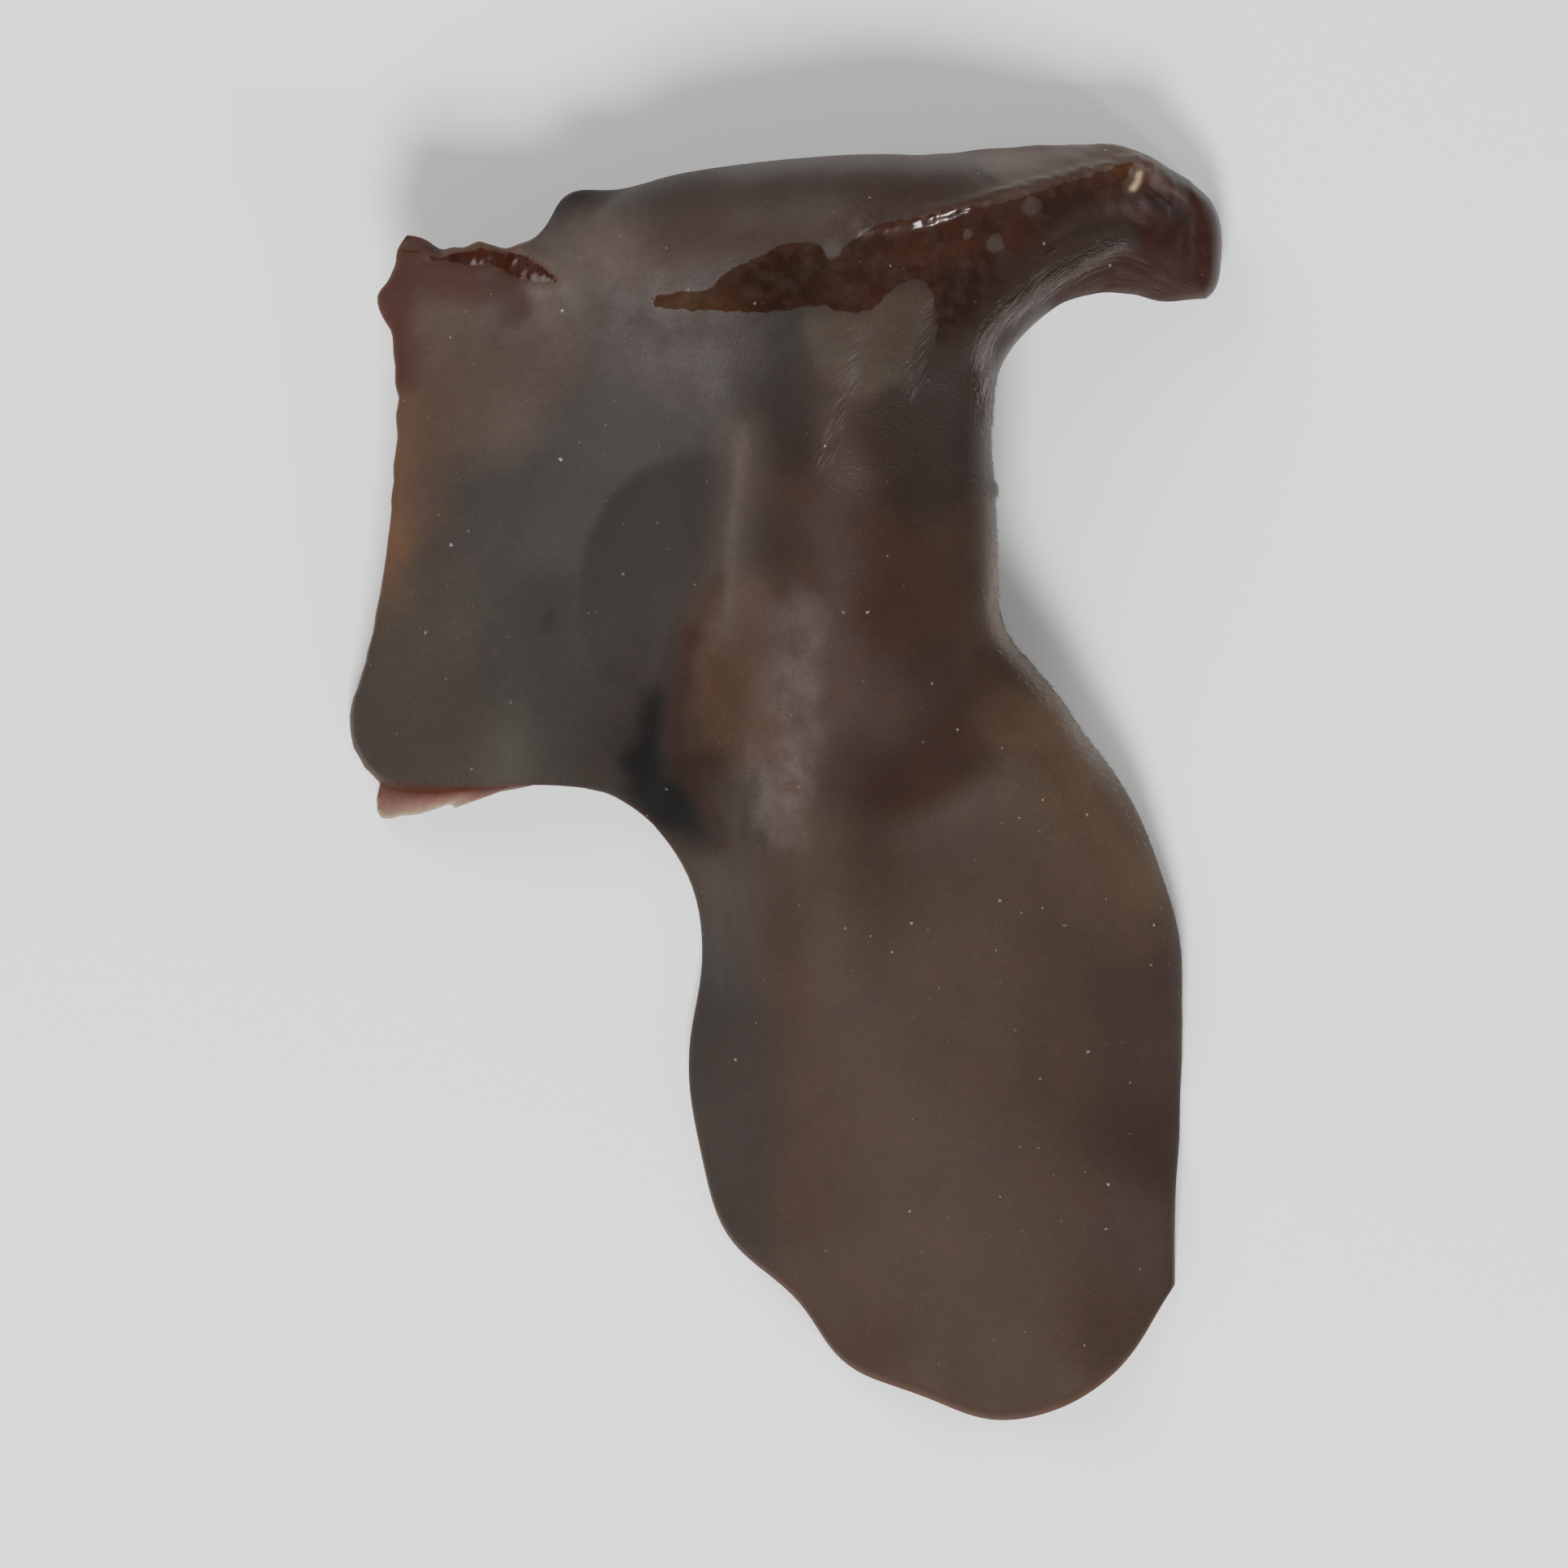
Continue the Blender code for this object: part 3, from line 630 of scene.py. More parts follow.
# Relief on the smooth side, where it faces up. Raised lines are (height, width, line), and waves
# are (height, wavelength, seed), in millimetres.
WAVER = 0.18
SKIN_WAVES = [(0.05, 9.0, 3), (0.012, 3.0, 4)]
KNOB_WAVES = [(0.07, 4.5, 5), (0.03, 1.8, 6)]
CREST_HEIGHT = 0.45
CREST_WIDTH = 0.6
RAISED_LINES = [
    (CREST_HEIGHT, CREST_WIDTH, RIGHT_CREST), (0.10, 0.8, FOLD_LINE),
    (0.30, 0.6, KNOB_RIDGE), (0.20, 0.4, KNOB_FLAP),
]
TROUGH_DEPTH = 0.36
NOTCH_DEPTH = 0.25
SLIT_DEPTH = 0.25
SLIT_LIP = 0.10
GROOVE_DEPTH = 0.08
GROOVE_WIDTH = 1.1


def uneven(places, waves):
    """Waves of several sizes laid over each other."""
    return sum(height * ripple(places, wavelength, seed) for height, wavelength, seed in waves)


spot = np.where(top[:, None], outer, middle)[:, :2]
faces_up = np.where(top, ease(0.1, 0.5, normal[:, 2]), 0.0)
knob = 1 - ease(0.10, 0.20, v)
trough = depth_inside(WET_TROUGH, spot)
slit = depth_inside(SLIT, spot)
wavy = spot + WAVER * np.column_stack([ripple(spot, 4.0, 1), ripple(spot, 4.0, 2)])
relief = uneven(middle, SKIN_WAVES) + knob * uneven(middle, KNOB_WAVES)
for height, width, line in RAISED_LINES:
    relief += height * bump(distance_to(line, spot), width)
for groove in LOBE_GROOVES:
    relief -= GROOVE_DEPTH * bump(distance_to(groove, wavy), GROOVE_WIDTH)
relief -= NOTCH_DEPTH * bump(distance_to(NOTCH_LINE, spot), 2.0) * ease(13.0, 5.0, spot[:, 1])
relief -= SLIT_DEPTH * ease(-0.15, 0.45, slit)
relief += SLIT_LIP * bump(slit + 0.5, 0.5) + 0.03 * ripple(spot, 0.9, 11) * ease(-0.3, 0.2, slit)

# The upper crest is a little beaded, and the trough follows its lower side towards the knob.
crest_x, crest_y = np.array(UPPER_CREST).T
below = np.interp(spot[:, 0], crest_x, crest_y) - spot[:, 1]
towards_knob = ease(7.0, 14.0, spot[:, 0])
beaded = CREST_HEIGHT * (1 + 0.2 * ripple(spot, 1.3, 12))
relief += beaded * bump(distance_to(UPPER_CREST[2:], spot), CREST_WIDTH)
relief -= TROUGH_DEPTH * ease(0.0, 1.8, below) * (1 - ease(2.5, 9.0, below)) * towards_knob
relief += 0.04 * ripple(spot, 1.2, 13) * bump(below - 0.9, 1.0) * towards_knob
relief *= faces_up * ease(0.0, 1.2, rim)

# Shallow veins on the underside, which run with the growth.
VEIN_DEPTH = 0.16
growth = np.column_stack([a * 70.0, v * 18.0])
veins = VEIN_DEPTH * ripple(growth, 3.0, 7) + 0.08 * ripple(middle, 5.0, 8)
relief = np.where(top, relief, veins * ease(0.0, 3.0, rim) * (1 - knob))

points = outer + normal * np.where(top, relief, -relief)[:, None]

# The torn edges: pulls at the corner, a flap of the upper hem that stands out, small nicks along the
# panel's left side, and a lip of the lower layer where the panel was cut.
MARGIN_LENGTH = 160.0
NICK_DEPTH = 0.06

for x, y, reach, right_by, up_by in PULLS:
    points[:, :2] += bump(np.linalg.norm(spot - (x, y), axis=1), reach)[:, None] * (right_by, up_by)
flap = ease(0.70, 0.95, past_upper) * bump(v - FLAP_V, FLAP_WIDTH)
points[:, :2] += flap[:, None] * FLAP_PULL
way = ahead[:, :2] / np.linalg.norm(ahead[:, :2], axis=1)[:, None]
along_margin = np.column_stack([u * MARGIN_LENGTH, np.zeros(len(u))])
torn = ease(0.0, 0.03, u) * (1 - ease(0.42, 0.50, u)) * ease(0.8, 1.0, v)
nicks = NICK_DEPTH * ripple(along_margin, 2.2, 9) * bump(margin_rim, 1.6)
cut = ease(LIP_START, LIP_START + 0.03, u) * (1 - ease(LIP_END - 0.014, LIP_END, u))
ragged = 1 + 0.12 * ripple(along_margin, 4.5, 10) - 0.2 * ease(0.34, 0.38, u)
lip = np.where(top, 0.0, LIP_LENGTH * ragged * cut * bump(margin_rim, 1.2))
points[:, :2] += way * (torn * nicks + lip)[:, None]
points[:, 2] = np.maximum(points[:, 2] - FLATTENED, 0.0)
points[:, :2] -= DRAWING_MIDDLE
mesh.vertices.foreach_set("co", (points * MM).ravel())


def colour(red, green, blue):
    """A linear colour from the 0 to 255 values that a screen shows."""
    shares = [value / 255 for value in (red, green, blue)]
    linear = [s / 12.92 if s <= 0.04045 else ((s + 0.055) / 1.055) ** 2.4 for s in shares]
    return (*linear, 1.0)


# How the colours lie, as soft strokes on the page: (colour, strength, width, softness, line).
# The flesh itself is darker than it looks, because its satin skin adds a grey sheen.
FLESH_DEPTH = np.array([0.56, 0.48, 0.40])
PANEL_GREY = colour(55, 49, 46)
STROKES = [
    ((66, 49, 38), 0.95, 30.0, 5.0, [(14, -12), (17, -22), (16, -34), (16, -44)]),
    ((64, 45, 36), 0.90, 12.0, 5.0, [(9, 36), (7, 27), (6.5, 16), (7, 6), (5, -3)]),
    ((62, 41, 26), 0.75, 6.0, 5.0, [(14, 34), (14.5, 20), (13, 12), (15, 7)]),
    ((40, 28, 22), 0.80, 4.0, 5.0, [(12, 36), (11.5, 32), (12.5, 27)]),
    ((42, 29, 23), 0.75, 1.6, 2.6, [(0, 41), (0, 37), (0.2, 33), (0.6, 29)]),
    ((46, 42, 40), 0.60, 6.0, 7.0, [(-20, 31), (-13, 34), (-5, 34), (-3, 37)]),
    ((46, 42, 40), 0.55, 5.0, 5.0, [(-23, 33), (-22, 20), (-21, 6)]),
    ((60, 38, 25), 0.80, 3.0, 3.0, [(8, 16), (9, 10), (11, 6.8), (14.2, 4.2), (17.4, 5.5)]),
    ((62, 48, 36), 0.80, 8.0, 5.0, [(-4, -6), (-1, -9), (5, -9), (12, -6), (19, -2)]),
    ((50, 26, 8), 0.92, 3.2, 4.0, [(18.6, 7.6), (15.6, 3.6), (12, 1.2), (8.6, -0.2), (6, 0.4)]),
    ((50, 28, 10), 0.80, 2.4, 3.0, [(12.6, 10), (13.6, 6.5), (15, 3.4)]),
    # The pale stroke along the ridge's crest is painted highlight.
    ((94, 82, 80), 0.50, 2.0, 2.6, RIDGE_HIGHLIGHT_LINE),
    ((58, 40, 33), 0.70, 5.0, 6.0, [(31, -17), (32, -22), (32, -40)]),
    ((76, 61, 46), 0.80, 4.0, 5.0, [(21, 5), (24, 0), (27, -5), (30, -11)]),
    ((96, 78, 62), 0.70, 1.0, 3.0, [(22.6, 6.6), (25.6, 2), (29, -3.4), (31.6, -9.6)]),
    ((68, 51, 45), 0.85, 5.0, 3.0, [(-14, 46), (0, 50.5), (12, 52.5), (22, 54.5), (30, 55)]),
    # The pale stroke along the rolled upper hem is painted highlight.
    ((108, 94, 90), 0.80, 1.4, 3.0, [(19, 53.4), (24, 54.3), (29, 54.6), (31, 54.4)]),
    ((62, 46, 39), 0.80, 5.0, 4.0, [(27, 49), (22, 46), (17, 41)]),
    ((80, 62, 56), 0.60, 3.0, 3.0, [(11, 46.8), (15, 48), (19, 49.4)]),
    ((46, 34, 28), 0.80, 5.0, 4.0, [(16, 40), (14.5, 36), (15, 30)]),
    ((94, 74, 62), 0.85, 3.4, 4.0, [(-4.6, 14), (-5.0, 8), (-4.6, 4)]),
    ((52, 34, 20), 0.80, 2.0, 3.0, [(-7.4, 0.6), (-5.6, -2.4), (-4.0, -5.4)]),
    # The amber along the panel's left edge is the thin flesh's colour and partly painted glow of light
    # through it.
    ((108, 78, 54), 0.78, 1.0, 4.4, [(-34.6, 39), (-34.8, 36), (-35.2, 22), (-35.8, 17)]),
    ((52, 47, 43), 0.45, 3.0, 5.0, PANEL_LOW),
    ((62, 57, 49), 0.60, 5.0, 5.0, [(-32, 14), (-32.6, 8), (-30, 3), (-27, 2)]),
    ((84, 68, 58), 0.60, 8.0, 5.0, [(-31, 38), (-27, 34), (-24, 38)]),
    ((82, 74, 74), 0.40, 6.0, 6.0, [(-19, 44), (-14, 41), (-9, 38)]),
    ((108, 98, 94), 0.50, 2.4, 4.5, [(-22, 44), (-18.5, 47), (-16, 47.2)]),
    ((82, 64, 52), 0.50, 2.0, 3.0, [(-32, 37), (-31.6, 24)]),
    ((70, 36, 28), 0.90, 2.4, 2.4, [(-33.4, 45.2), (-34.8, 43.4), (-35, 40), (-34.4, 36)]),
    ((66, 34, 27), 0.85, 1.8, 2.4, [(-32.4, 44.4), (-30, 44), (-27, 43.6)]),
    ((60, 30, 23), 0.85, 1.0, 2.0, [(-24.4, 43.2), (-24, 42), (-23.8, 41.2)]),
    ((112, 94, 84), 0.70, 0.5, 0.7, [(-29.5, 46.3), (-26, 46.6), (-23.4, 46.6)]),
]

# Areas: (colour, strength, how far it fades outward and inward, outline).
AREAS = [
    # Painted shade around the notch, and painted deep shadow in it.
    ((40, 36, 34), 0.75, -1.0, 2.0, NOTCH_SHADE),
    ((8, 6, 5), 0.95, -1.2, 1.2, NOTCH_SHADOW),
    ((50, 32, 24), 0.70, -1.5, 2.5, BROWN_BLOT),
    ((76, 68, 59), 0.75, -0.6, 1.2, LOZENGE),
    ((58, 21, 5), 0.92, -0.5, 0.7, KNOB_SKIN),
    ((54, 24, 8), 0.88, -0.4, 0.6, NECK_WALL),
    ((108, 92, 90), 0.80, -0.4, 0.6, KNOB_TAB),
]

# Small marks: (colour, strength, width, line).
MARKS = [
    ((215, 198, 176), 1.00, 0.26, KNOB_SCAR),
    # The two pale marks along the fold line are its pale crest line and painted highlight on the crest.
    ((96, 88, 86), 0.60, 2.2, FOLD_LINE),
    ((108, 102, 104), 0.35, 0.60, FOLD_LINE),
    ((112, 106, 106), 0.50, 0.35, RIGHT_CREST),
    # Painted shadow under the small crest on the knob.
    ((24, 12, 8), 0.70, 0.70, [(31.4, 50.8), (33.2, 50.2), (34.6, 49.2)]),
    ((30, 20, 14), 0.70, 0.40, [(16.3, 53.4), (17.0, 53.0), (17.9, 52.4)]),
    ((30, 22, 20), 0.70, 0.50, [(-21.2, 13.4), (-20.6, 14.4)]),
    ((24, 17, 15), 0.90, 0.60, [(18.2, 25.4), (19.2, 25.4)]),
    ((60, 38, 25), 0.45, 0.90, [(-5.8, 17.4), (-7.2, 15.0), (-8.4, 12.6)]),
    ((54, 31, 18), 0.70, 1.00, FLANK_EDGE),
]

VALLEY_SHADOW_COLOUR = colour(42, 37, 38)
ISLAND_COLOUR = colour(84, 78, 77)
WAIST_DOWN = colour(158, 150, 146)
UNDERSIDE_GREY = colour(128, 120, 112)
NECK_UNDERSIDE = colour(60, 34, 27)
RIM_JELLY_GLOW = colour(96, 62, 44)
CUT_JELLY = colour(82, 38, 22)
LIP_COLOUR = colour(158, 153, 156)
SLIT_JELLY = colour(74, 46, 27)
FLAP_SHADE_COLOUR = colour(34, 25, 22)


def laid(tint, shade, mask):
    """The tint with a colour blended into it."""
    return tint + mask[:, None] * (np.array(shade[:3]) - tint)


tint = np.tile(PANEL_GREY[:3], (len(spot), 1))
for shade, strength, width, softness, line in STROKES:
    beyond = ease(width / 2, width / 2 + softness, distance_to(line, wavy))
    tint = laid(tint, colour(*shade), strength * (1 - beyond))
for shade, strength, outer, inner, outline in AREAS:
    tint = laid(tint, colour(*shade), strength * ease(outer, inner, depth_inside(outline, wavy)))
# Painted shade over the valley beside the fold, strongest towards its upper end.
shaded_valley = ease(-0.6, 1.2, depth_inside(VALLEY_SHADE, spot))
deepest = 0.3 + 0.7 * ease(11.0, 24.0, spot[:, 1])
tint = laid(tint, VALLEY_SHADOW_COLOUR, 0.75 * shaded_valley * deepest)
for shade, strength, width, line in MARKS:
    tint = laid(tint, colour(*shade), strength * bump(distance_to(line, spot), width))

# The pale rim of down that shows where the waist turns over.
turning = ease(0.70, 0.40, normal[:, 2]) * ease(-0.5, 0.0, normal[:, 2])
waist = turning * ease(0.94, 0.99, u) * ease(0.14, 0.22, v) * (1 - 0.7 * ease(0.5, 0.65, v))
waist *= 0.15 * ease(39.0, 33.0, spot[:, 1]) + 0.55 * bump(spot[:, 1] - 12.0, 8.0)
tint = laid(tint, WAIST_DOWN, 0.65 * waist)

# The underside, then the jelly that shows at the rims and in the torn slit. At the rims the amber is
# partly painted glow of light through the thin edge.
tint = np.where(top[:, None], tint, np.array(UNDERSIDE_GREY[:3]))
tint = laid(tint, NECK_UNDERSIDE, np.where(top, 0.0, 1 - ease(0.08, 0.24, v)))
tint = laid(tint, RIM_JELLY_GLOW, 0.75 * bump(rim, 0.5) * (1 - knob))
tint = laid(tint, CUT_JELLY, 0.95 * ease(1.6, 0.8, margin_rim) * cut)
tint = laid(tint, LIP_COLOUR, 0.9 * ease(1.2, 0.6, margin_rim) * cut * ~top)
tint = laid(tint, SLIT_JELLY, ease(-0.3, 0.2, slit) * faces_up)
# The flap of the upper hem gets its underside's dark colour and painted shade.
tint = laid(tint, FLAP_SHADE_COLOUR, np.clip(1.4 * flap, 0.0, 1.0))

# How deep each place lies in a wet patch. The scar and the islands are dry, and the patch's lower
# right side dries gradually.
wet = trough.copy()
for x, y, radius in DRY_ISLANDS:
    away = np.linalg.norm(spot - (x, y), axis=1)
    wet = np.minimum(wet, away - radius)
    tint = laid(tint, ISLAND_COLOUR, 0.6 * ease(1.2 * radius, 0.5 * radius, away))
wet = np.maximum(wet, slit)
wet = np.minimum(wet, distance_to(KNOB_SCAR, spot) - 0.9)
wet = np.where(faces_up > 0.05, wet, -3.0)
damp = ease(0.0, 4.5, distance_to(SOFT_WET_SIDE, spot))


def strongest(mask, lines):
    """The mask, raised along soft lines: (strength, width, line)."""
    for strength, width, line in lines:
        mask = np.maximum(mask, strength * bump(distance_to(line, spot), width))
    return mask


# Pale streaks, and powdery bloom that along the ridge's crest and its glints is also painted highlight.
STREAKED = [(0.6, 0.9, STREAKS[0]), (0.6, 0.9, STREAKS[1]), (1.0, 1.2, RIGHT_CREST)]
BLOOM_AND_SHEEN = [(0.7, 2.8, RIDGE_HIGHLIGHT_LINE), (1.5, 1.1, GLINT_LINE), (0.4, 5.0, CORNER_HAZE)]
streaks = strongest(0.25 * ease(-0.5, 1.0, depth_inside(NECK_WALL, spot)), STREAKED)
bloom_and_sheen = strongest(np.zeros(len(spot)), BLOOM_AND_SHEEN)

# The panel and the lobe are duller than the rest, and the valley, the notch and the foot of the fold
# are dullest. Only the knob's bare skin is glossy.
DULL = [(1.2, 2.5, NOTCH_LINE), (0.8, 4.0, SHEEN_LINE), (1.15, 4.5, FOLD_FOOT), (0.8, 6.0, PANEL_LOW)]
matt = np.maximum(0.8 * shaded_valley, 1.2 * ease(-3.0, 0.0, depth_inside(NOTCH_SHADOW, spot)))
matt = np.maximum(matt, 0.45 * (1 - ease(-8.0, -3.0, spot[:, 0])) * ease(-4.0, 2.0, spot[:, 1]))
matt = np.maximum(matt, 0.65 * (1 - ease(-6.0, 5.0, spot[:, 1])))
matt = strongest(matt, DULL)
matt -= (0.1 + matt) * ease(-1.0, 1.0, depth_inside(KNOB_SKIN, spot))
matt = np.maximum(matt, 0.8 * ease(-1.0, 1.0, depth_inside(NECK_WALL, spot)))
matt = strongest(matt, [(0.8, 3.0, DULL_CORNER)])

# The film of water is thickest on the wet patch's right part, and thin in the torn slit.
film = ease(-3.0, 7.0, spot[:, 0])
film = np.maximum(film, 0.3 * ease(-23.0, -27.0, spot[:, 0]))
masks = {
    "wet": wet, "damp": damp, "film": film, "matt": matt,
    "streaks": streaks * faces_up, "bloom_and_sheen": bloom_and_sheen * faces_up,
}
for name, values in masks.items():
    mesh.attributes.new(name, "FLOAT", "POINT").data.foreach_set("value", values.astype(np.float32))
tints = np.column_stack([tint * FLESH_DEPTH, np.ones(len(tint))]).astype(np.float32)
mesh.attributes.new("tint", "FLOAT_COLOR", "POINT").data.foreach_set("color", tints.ravel())

growth_map = np.column_stack([a, v])[values_of(mesh.loops, "vertex_index", kind=int)]
mesh.uv_layers.new(name="growth").data.foreach_set("uv", growth_map.ravel())

under_faces = [all(not top[i] for i in face.vertices) for face in mesh.polygons]
mesh.polygons.foreach_set("material_index", np.array(under_faces, int))
bm = bmesh.new()
bm.from_mesh(mesh)
bmesh.ops.recalc_face_normals(bm, faces=bm.faces[:])
bm.to_mesh(mesh)
bm.free()
mesh.shade_smooth()


def add(tree, kind, inputs=None, **settings):
    """A shader node with its settings, and its inputs set to numbers or linked to sockets."""
    made = tree.nodes.new(kind)
    for name, value in settings.items():
        setattr(made, name, value)
    for name, value in (inputs or {}).items():
        if isinstance(value, bpy.types.NodeSocket):
            tree.links.new(value, made.inputs[name])
        else:
            made.inputs[name].default_value = value
    return made


def noise(tree, place, scale, detail):
    """Noise whose scale is in waves per metre."""
    return add(tree, "ShaderNodeTexNoise", {"Vector": place, "Scale": scale, "Detail": detail})


def mask(tree, name):
    """A mask that is stored on the mesh."""
    return add(tree, "ShaderNodeAttribute", attribute_name=name).outputs["Fac"]


def stretched(tree, value, low, high, start=0.0, end=1.0):
    """The value, clipped between low and high and stretched to run from start to end."""
    return add(tree, "ShaderNodeMapRange", {0: value, 1: low, 2: high, 3: start, 4: end}).outputs[0]


def product(tree, first, second):
    return add(tree, "ShaderNodeMath", {0: first, 1: second}, operation="MULTIPLY").outputs[0]


def scaled_sum(tree, value, factor, other):
    """The value times the factor, plus the other."""
    return add(tree, "ShaderNodeMath", {0: value, 1: factor, 2: other}, operation="MULTIPLY_ADD").outputs[0]


def between(tree, share, first, second):
    """A number that goes from the first to the second with the share."""
    return add(tree, "ShaderNodeMix", {0: share, 2: first, 3: second}, data_type="FLOAT").outputs[0]


def blended(tree, share, under, over, blend_type="MIX"):
    """A colour with another laid over it by the share."""
    values = {0: share, 6: under, 7: over}
    return add(tree, "ShaderNodeMix", values, data_type="RGBA", blend_type=blend_type).outputs[2]


def mottle_group():
    """Cloudy variation of a colour at one size, with its contrast."""
    group = bpy.data.node_groups.new("mottle", "ShaderNodeTree")
    for name, kind in (("Color", "Color"), ("Scale", "Float"), ("Contrast", "Float")):
        group.interface.new_socket(name, in_out="INPUT", socket_type="NodeSocket" + kind)
    group.interface.new_socket("Color", in_out="OUTPUT", socket_type="NodeSocketColor")
    given = add(group, "NodeGroupInput")
    place = add(group, "ShaderNodeTexCoord").outputs["Object"]
    clouds = noise(group, place, given.outputs["Scale"], 5.0).outputs["Fac"]
    centred = add(group, "ShaderNodeMath", {0: clouds, 1: 0.5}, operation="SUBTRACT").outputs[0]
    level = scaled_sum(group, centred, given.outputs["Contrast"], 1.0)
    grey = add(group, "ShaderNodeCombineColor", {0: level, 1: level, 2: level}).outputs[0]
    add(group, "NodeGroupOutput", {"Color": blended(group, 1.0, given.outputs["Color"], grey, "MULTIPLY")})
    return group


MOTTLE = mottle_group()


def mottled(tree, shade, layers):
    """The colour, mottled in layers: (scale, contrast)."""
    for scale, contrast in layers:
        values = {"Color": shade, "Scale": scale, "Contrast": contrast}
        shade = add(tree, "ShaderNodeGroup", values, node_tree=MOTTLE).outputs["Color"]
    return shade


SKIN_LOOK = {
    "Specular IOR Level": 0.30, "Coat Roughness": 0.08,
    "Subsurface Weight": 0.2, "Subsurface Radius": (1.0, 0.4, 0.2), "Subsurface Scale": 0.0015,
}
SKIN_MOTTLE = [(180.0, 0.45), (1400.0, 0.40), (5000.0, 0.50)]
WET_MOTTLE = [(420.0, 1.0), (1500.0, 0.9)]
STREAK_COLOUR = colour(100, 92, 92)
STREAK_STRETCH = (420.0, 34.0, 1.0)
POWDER_AND_SHEEN_COLOUR = colour(90, 82, 82)
POWDER_GRAIN = 3200.0
SOAKED_TINT = colour(224, 158, 92)
CLOUD_COLOUR = colour(56, 42, 34)
FLECK_COLOUR = colour(170, 160, 148)
FLECK_WOBBLE = 0.0003
FLECKS = [(520.0, 0.9), (1300.0, 0.5)]
DRIEST_ROUGHNESS = 0.85
GLOSSIEST_ROUGHNESS = 0.15
WET_ROUGHNESS = 0.20
FILM_WEIGHT = 0.5
PORE_GRAIN = 4200.0
PORE_DEPTH = 0.0001


def flecked(tree, place, shade):
    """The colour with small pale specks, in sizes of (cells per metre, strength)."""
    wobble = noise(tree, place, 6000.0, 1.0).outputs["Color"]
    shift = {0: wobble, 1: (FLECK_WOBBLE,) * 3, 2: place}
    nudged = add(tree, "ShaderNodeVectorMath", shift, operation="MULTIPLY_ADD").outputs[0]
    for fineness, strength in FLECKS:
        cells = add(tree, "ShaderNodeTexVoronoi", {"Vector": nudged, "Scale": fineness})
        chance = add(tree, "ShaderNodeSeparateColor", {0: cells.outputs["Color"]})
        reach = scaled_sum(tree, chance.outputs[1], 0.08, 0.03)
        speck = stretched(tree, cells.outputs["Distance"], reach, 0.02)
        rare = stretched(tree, chance.outputs[0], 0.55, 1.0, 0.0, strength)
        shade = blended(tree, product(tree, speck, rare), shade, FLECK_COLOUR)
    return shade


def smooth_skin():
    """Satin grey-brown with streaks, powder, painted highlight and pale flecks, dark and glossy where wet.
    """
    material, shader = new_material("smooth_skin", SKIN_LOOK)
    tree = material.node_tree
    place = add(tree, "ShaderNodeTexCoord").outputs["Object"]
    painted = add(tree, "ShaderNodeAttribute", attribute_name="tint")
    shade = mottled(tree, painted.outputs["Color"], SKIN_MOTTLE)

    # Fine pale streaks that run with the growth.
    growth = add(tree, "ShaderNodeUVMap", uv_map="growth").outputs[0]
    drawn_out = add(tree, "ShaderNodeMapping", {"Vector": growth, "Scale": STREAK_STRETCH}).outputs[0]
    scratches = noise(tree, drawn_out, 1.0, 4.0).outputs["Fac"]
    streaked = product(tree, stretched(tree, scratches, 0.50, 0.72), mask(tree, "streaks"))
    shade = blended(tree, streaked, shade, STREAK_COLOUR)

    # Powdery bloom, in grains and patches, that along the ridge is also painted highlight.
    powder = noise(tree, place, POWDER_GRAIN, 5.0)
    powder.inputs["Roughness"].default_value = 0.8
    grains = stretched(tree, powder.outputs["Fac"], 0.30, 0.75, 0.1, 0.8)
    patches = stretched(tree, noise(tree, place, 340.0, 4.0).outputs["Fac"], 0.36, 0.62)
    powder_and_sheen = product(tree, product(tree, grains, patches), mask(tree, "bloom_and_sheen"))
    shade = blended(tree, powder_and_sheen, shade, POWDER_AND_SHEEN_COLOUR)

    # The wet patches, with ragged edges, deeper in colour and a little cloudy.
    ragged = noise(tree, place, 900.0, 4.0).outputs["Fac"]
    edge = stretched(tree, scaled_sum(tree, ragged, 0.9, mask(tree, "wet")), 0.40, 0.54)
    is_wet = product(tree, edge, mask(tree, "damp"))
    soaked = blended(tree, 1.0, mottled(tree, shade, WET_MOTTLE), SOAKED_TINT, "MULTIPLY")
    cloudy = stretched(tree, noise(tree, place, 650.0, 6.0).outputs["Fac"], 0.44, 0.70, 0.0, 0.5)
    shade = blended(tree, is_wet, shade, blended(tree, cloudy, soaked, CLOUD_COLOUR))
    tree.links.new(flecked(tree, place, shade), shader.inputs["Base Color"])

    # The skin's own gloss, broken by the powder, and the film of water on the wet patches.
    dry = stretched(tree, mask(tree, "matt"), -1.0, 1.0, GLOSSIEST_ROUGHNESS, DRIEST_ROUGHNESS)
    dewy = scaled_sum(tree, powder_and_sheen, -0.5, dry)
    tree.links.new(between(tree, is_wet, dewy, WET_ROUGHNESS), shader.inputs["Roughness"])
    coat = product(tree, product(tree, is_wet, mask(tree, "film")), FILM_WEIGHT)
    tree.links.new(coat, shader.inputs["Coat Weight"])

    # Pores, which the water fills.
    pores = noise(tree, place, PORE_GRAIN, 3.0).outputs["Fac"]
    surface = {"Strength": 0.40, "Distance": PORE_DEPTH, "Height": between(tree, is_wet, pores, 0.5)}
    tree.links.new(add(tree, "ShaderNodeBump", surface).outputs[0], shader.inputs["Normal"])
    return material


DOWNY_LOOK = {"Roughness": 0.85, "Sheen Weight": 0.35}
NAP_MOTTLE = [(160.0, 0.5), (2600.0, 0.9)]
NAP_GRAIN = 3200.0
NAP_DEPTH = 0.0003


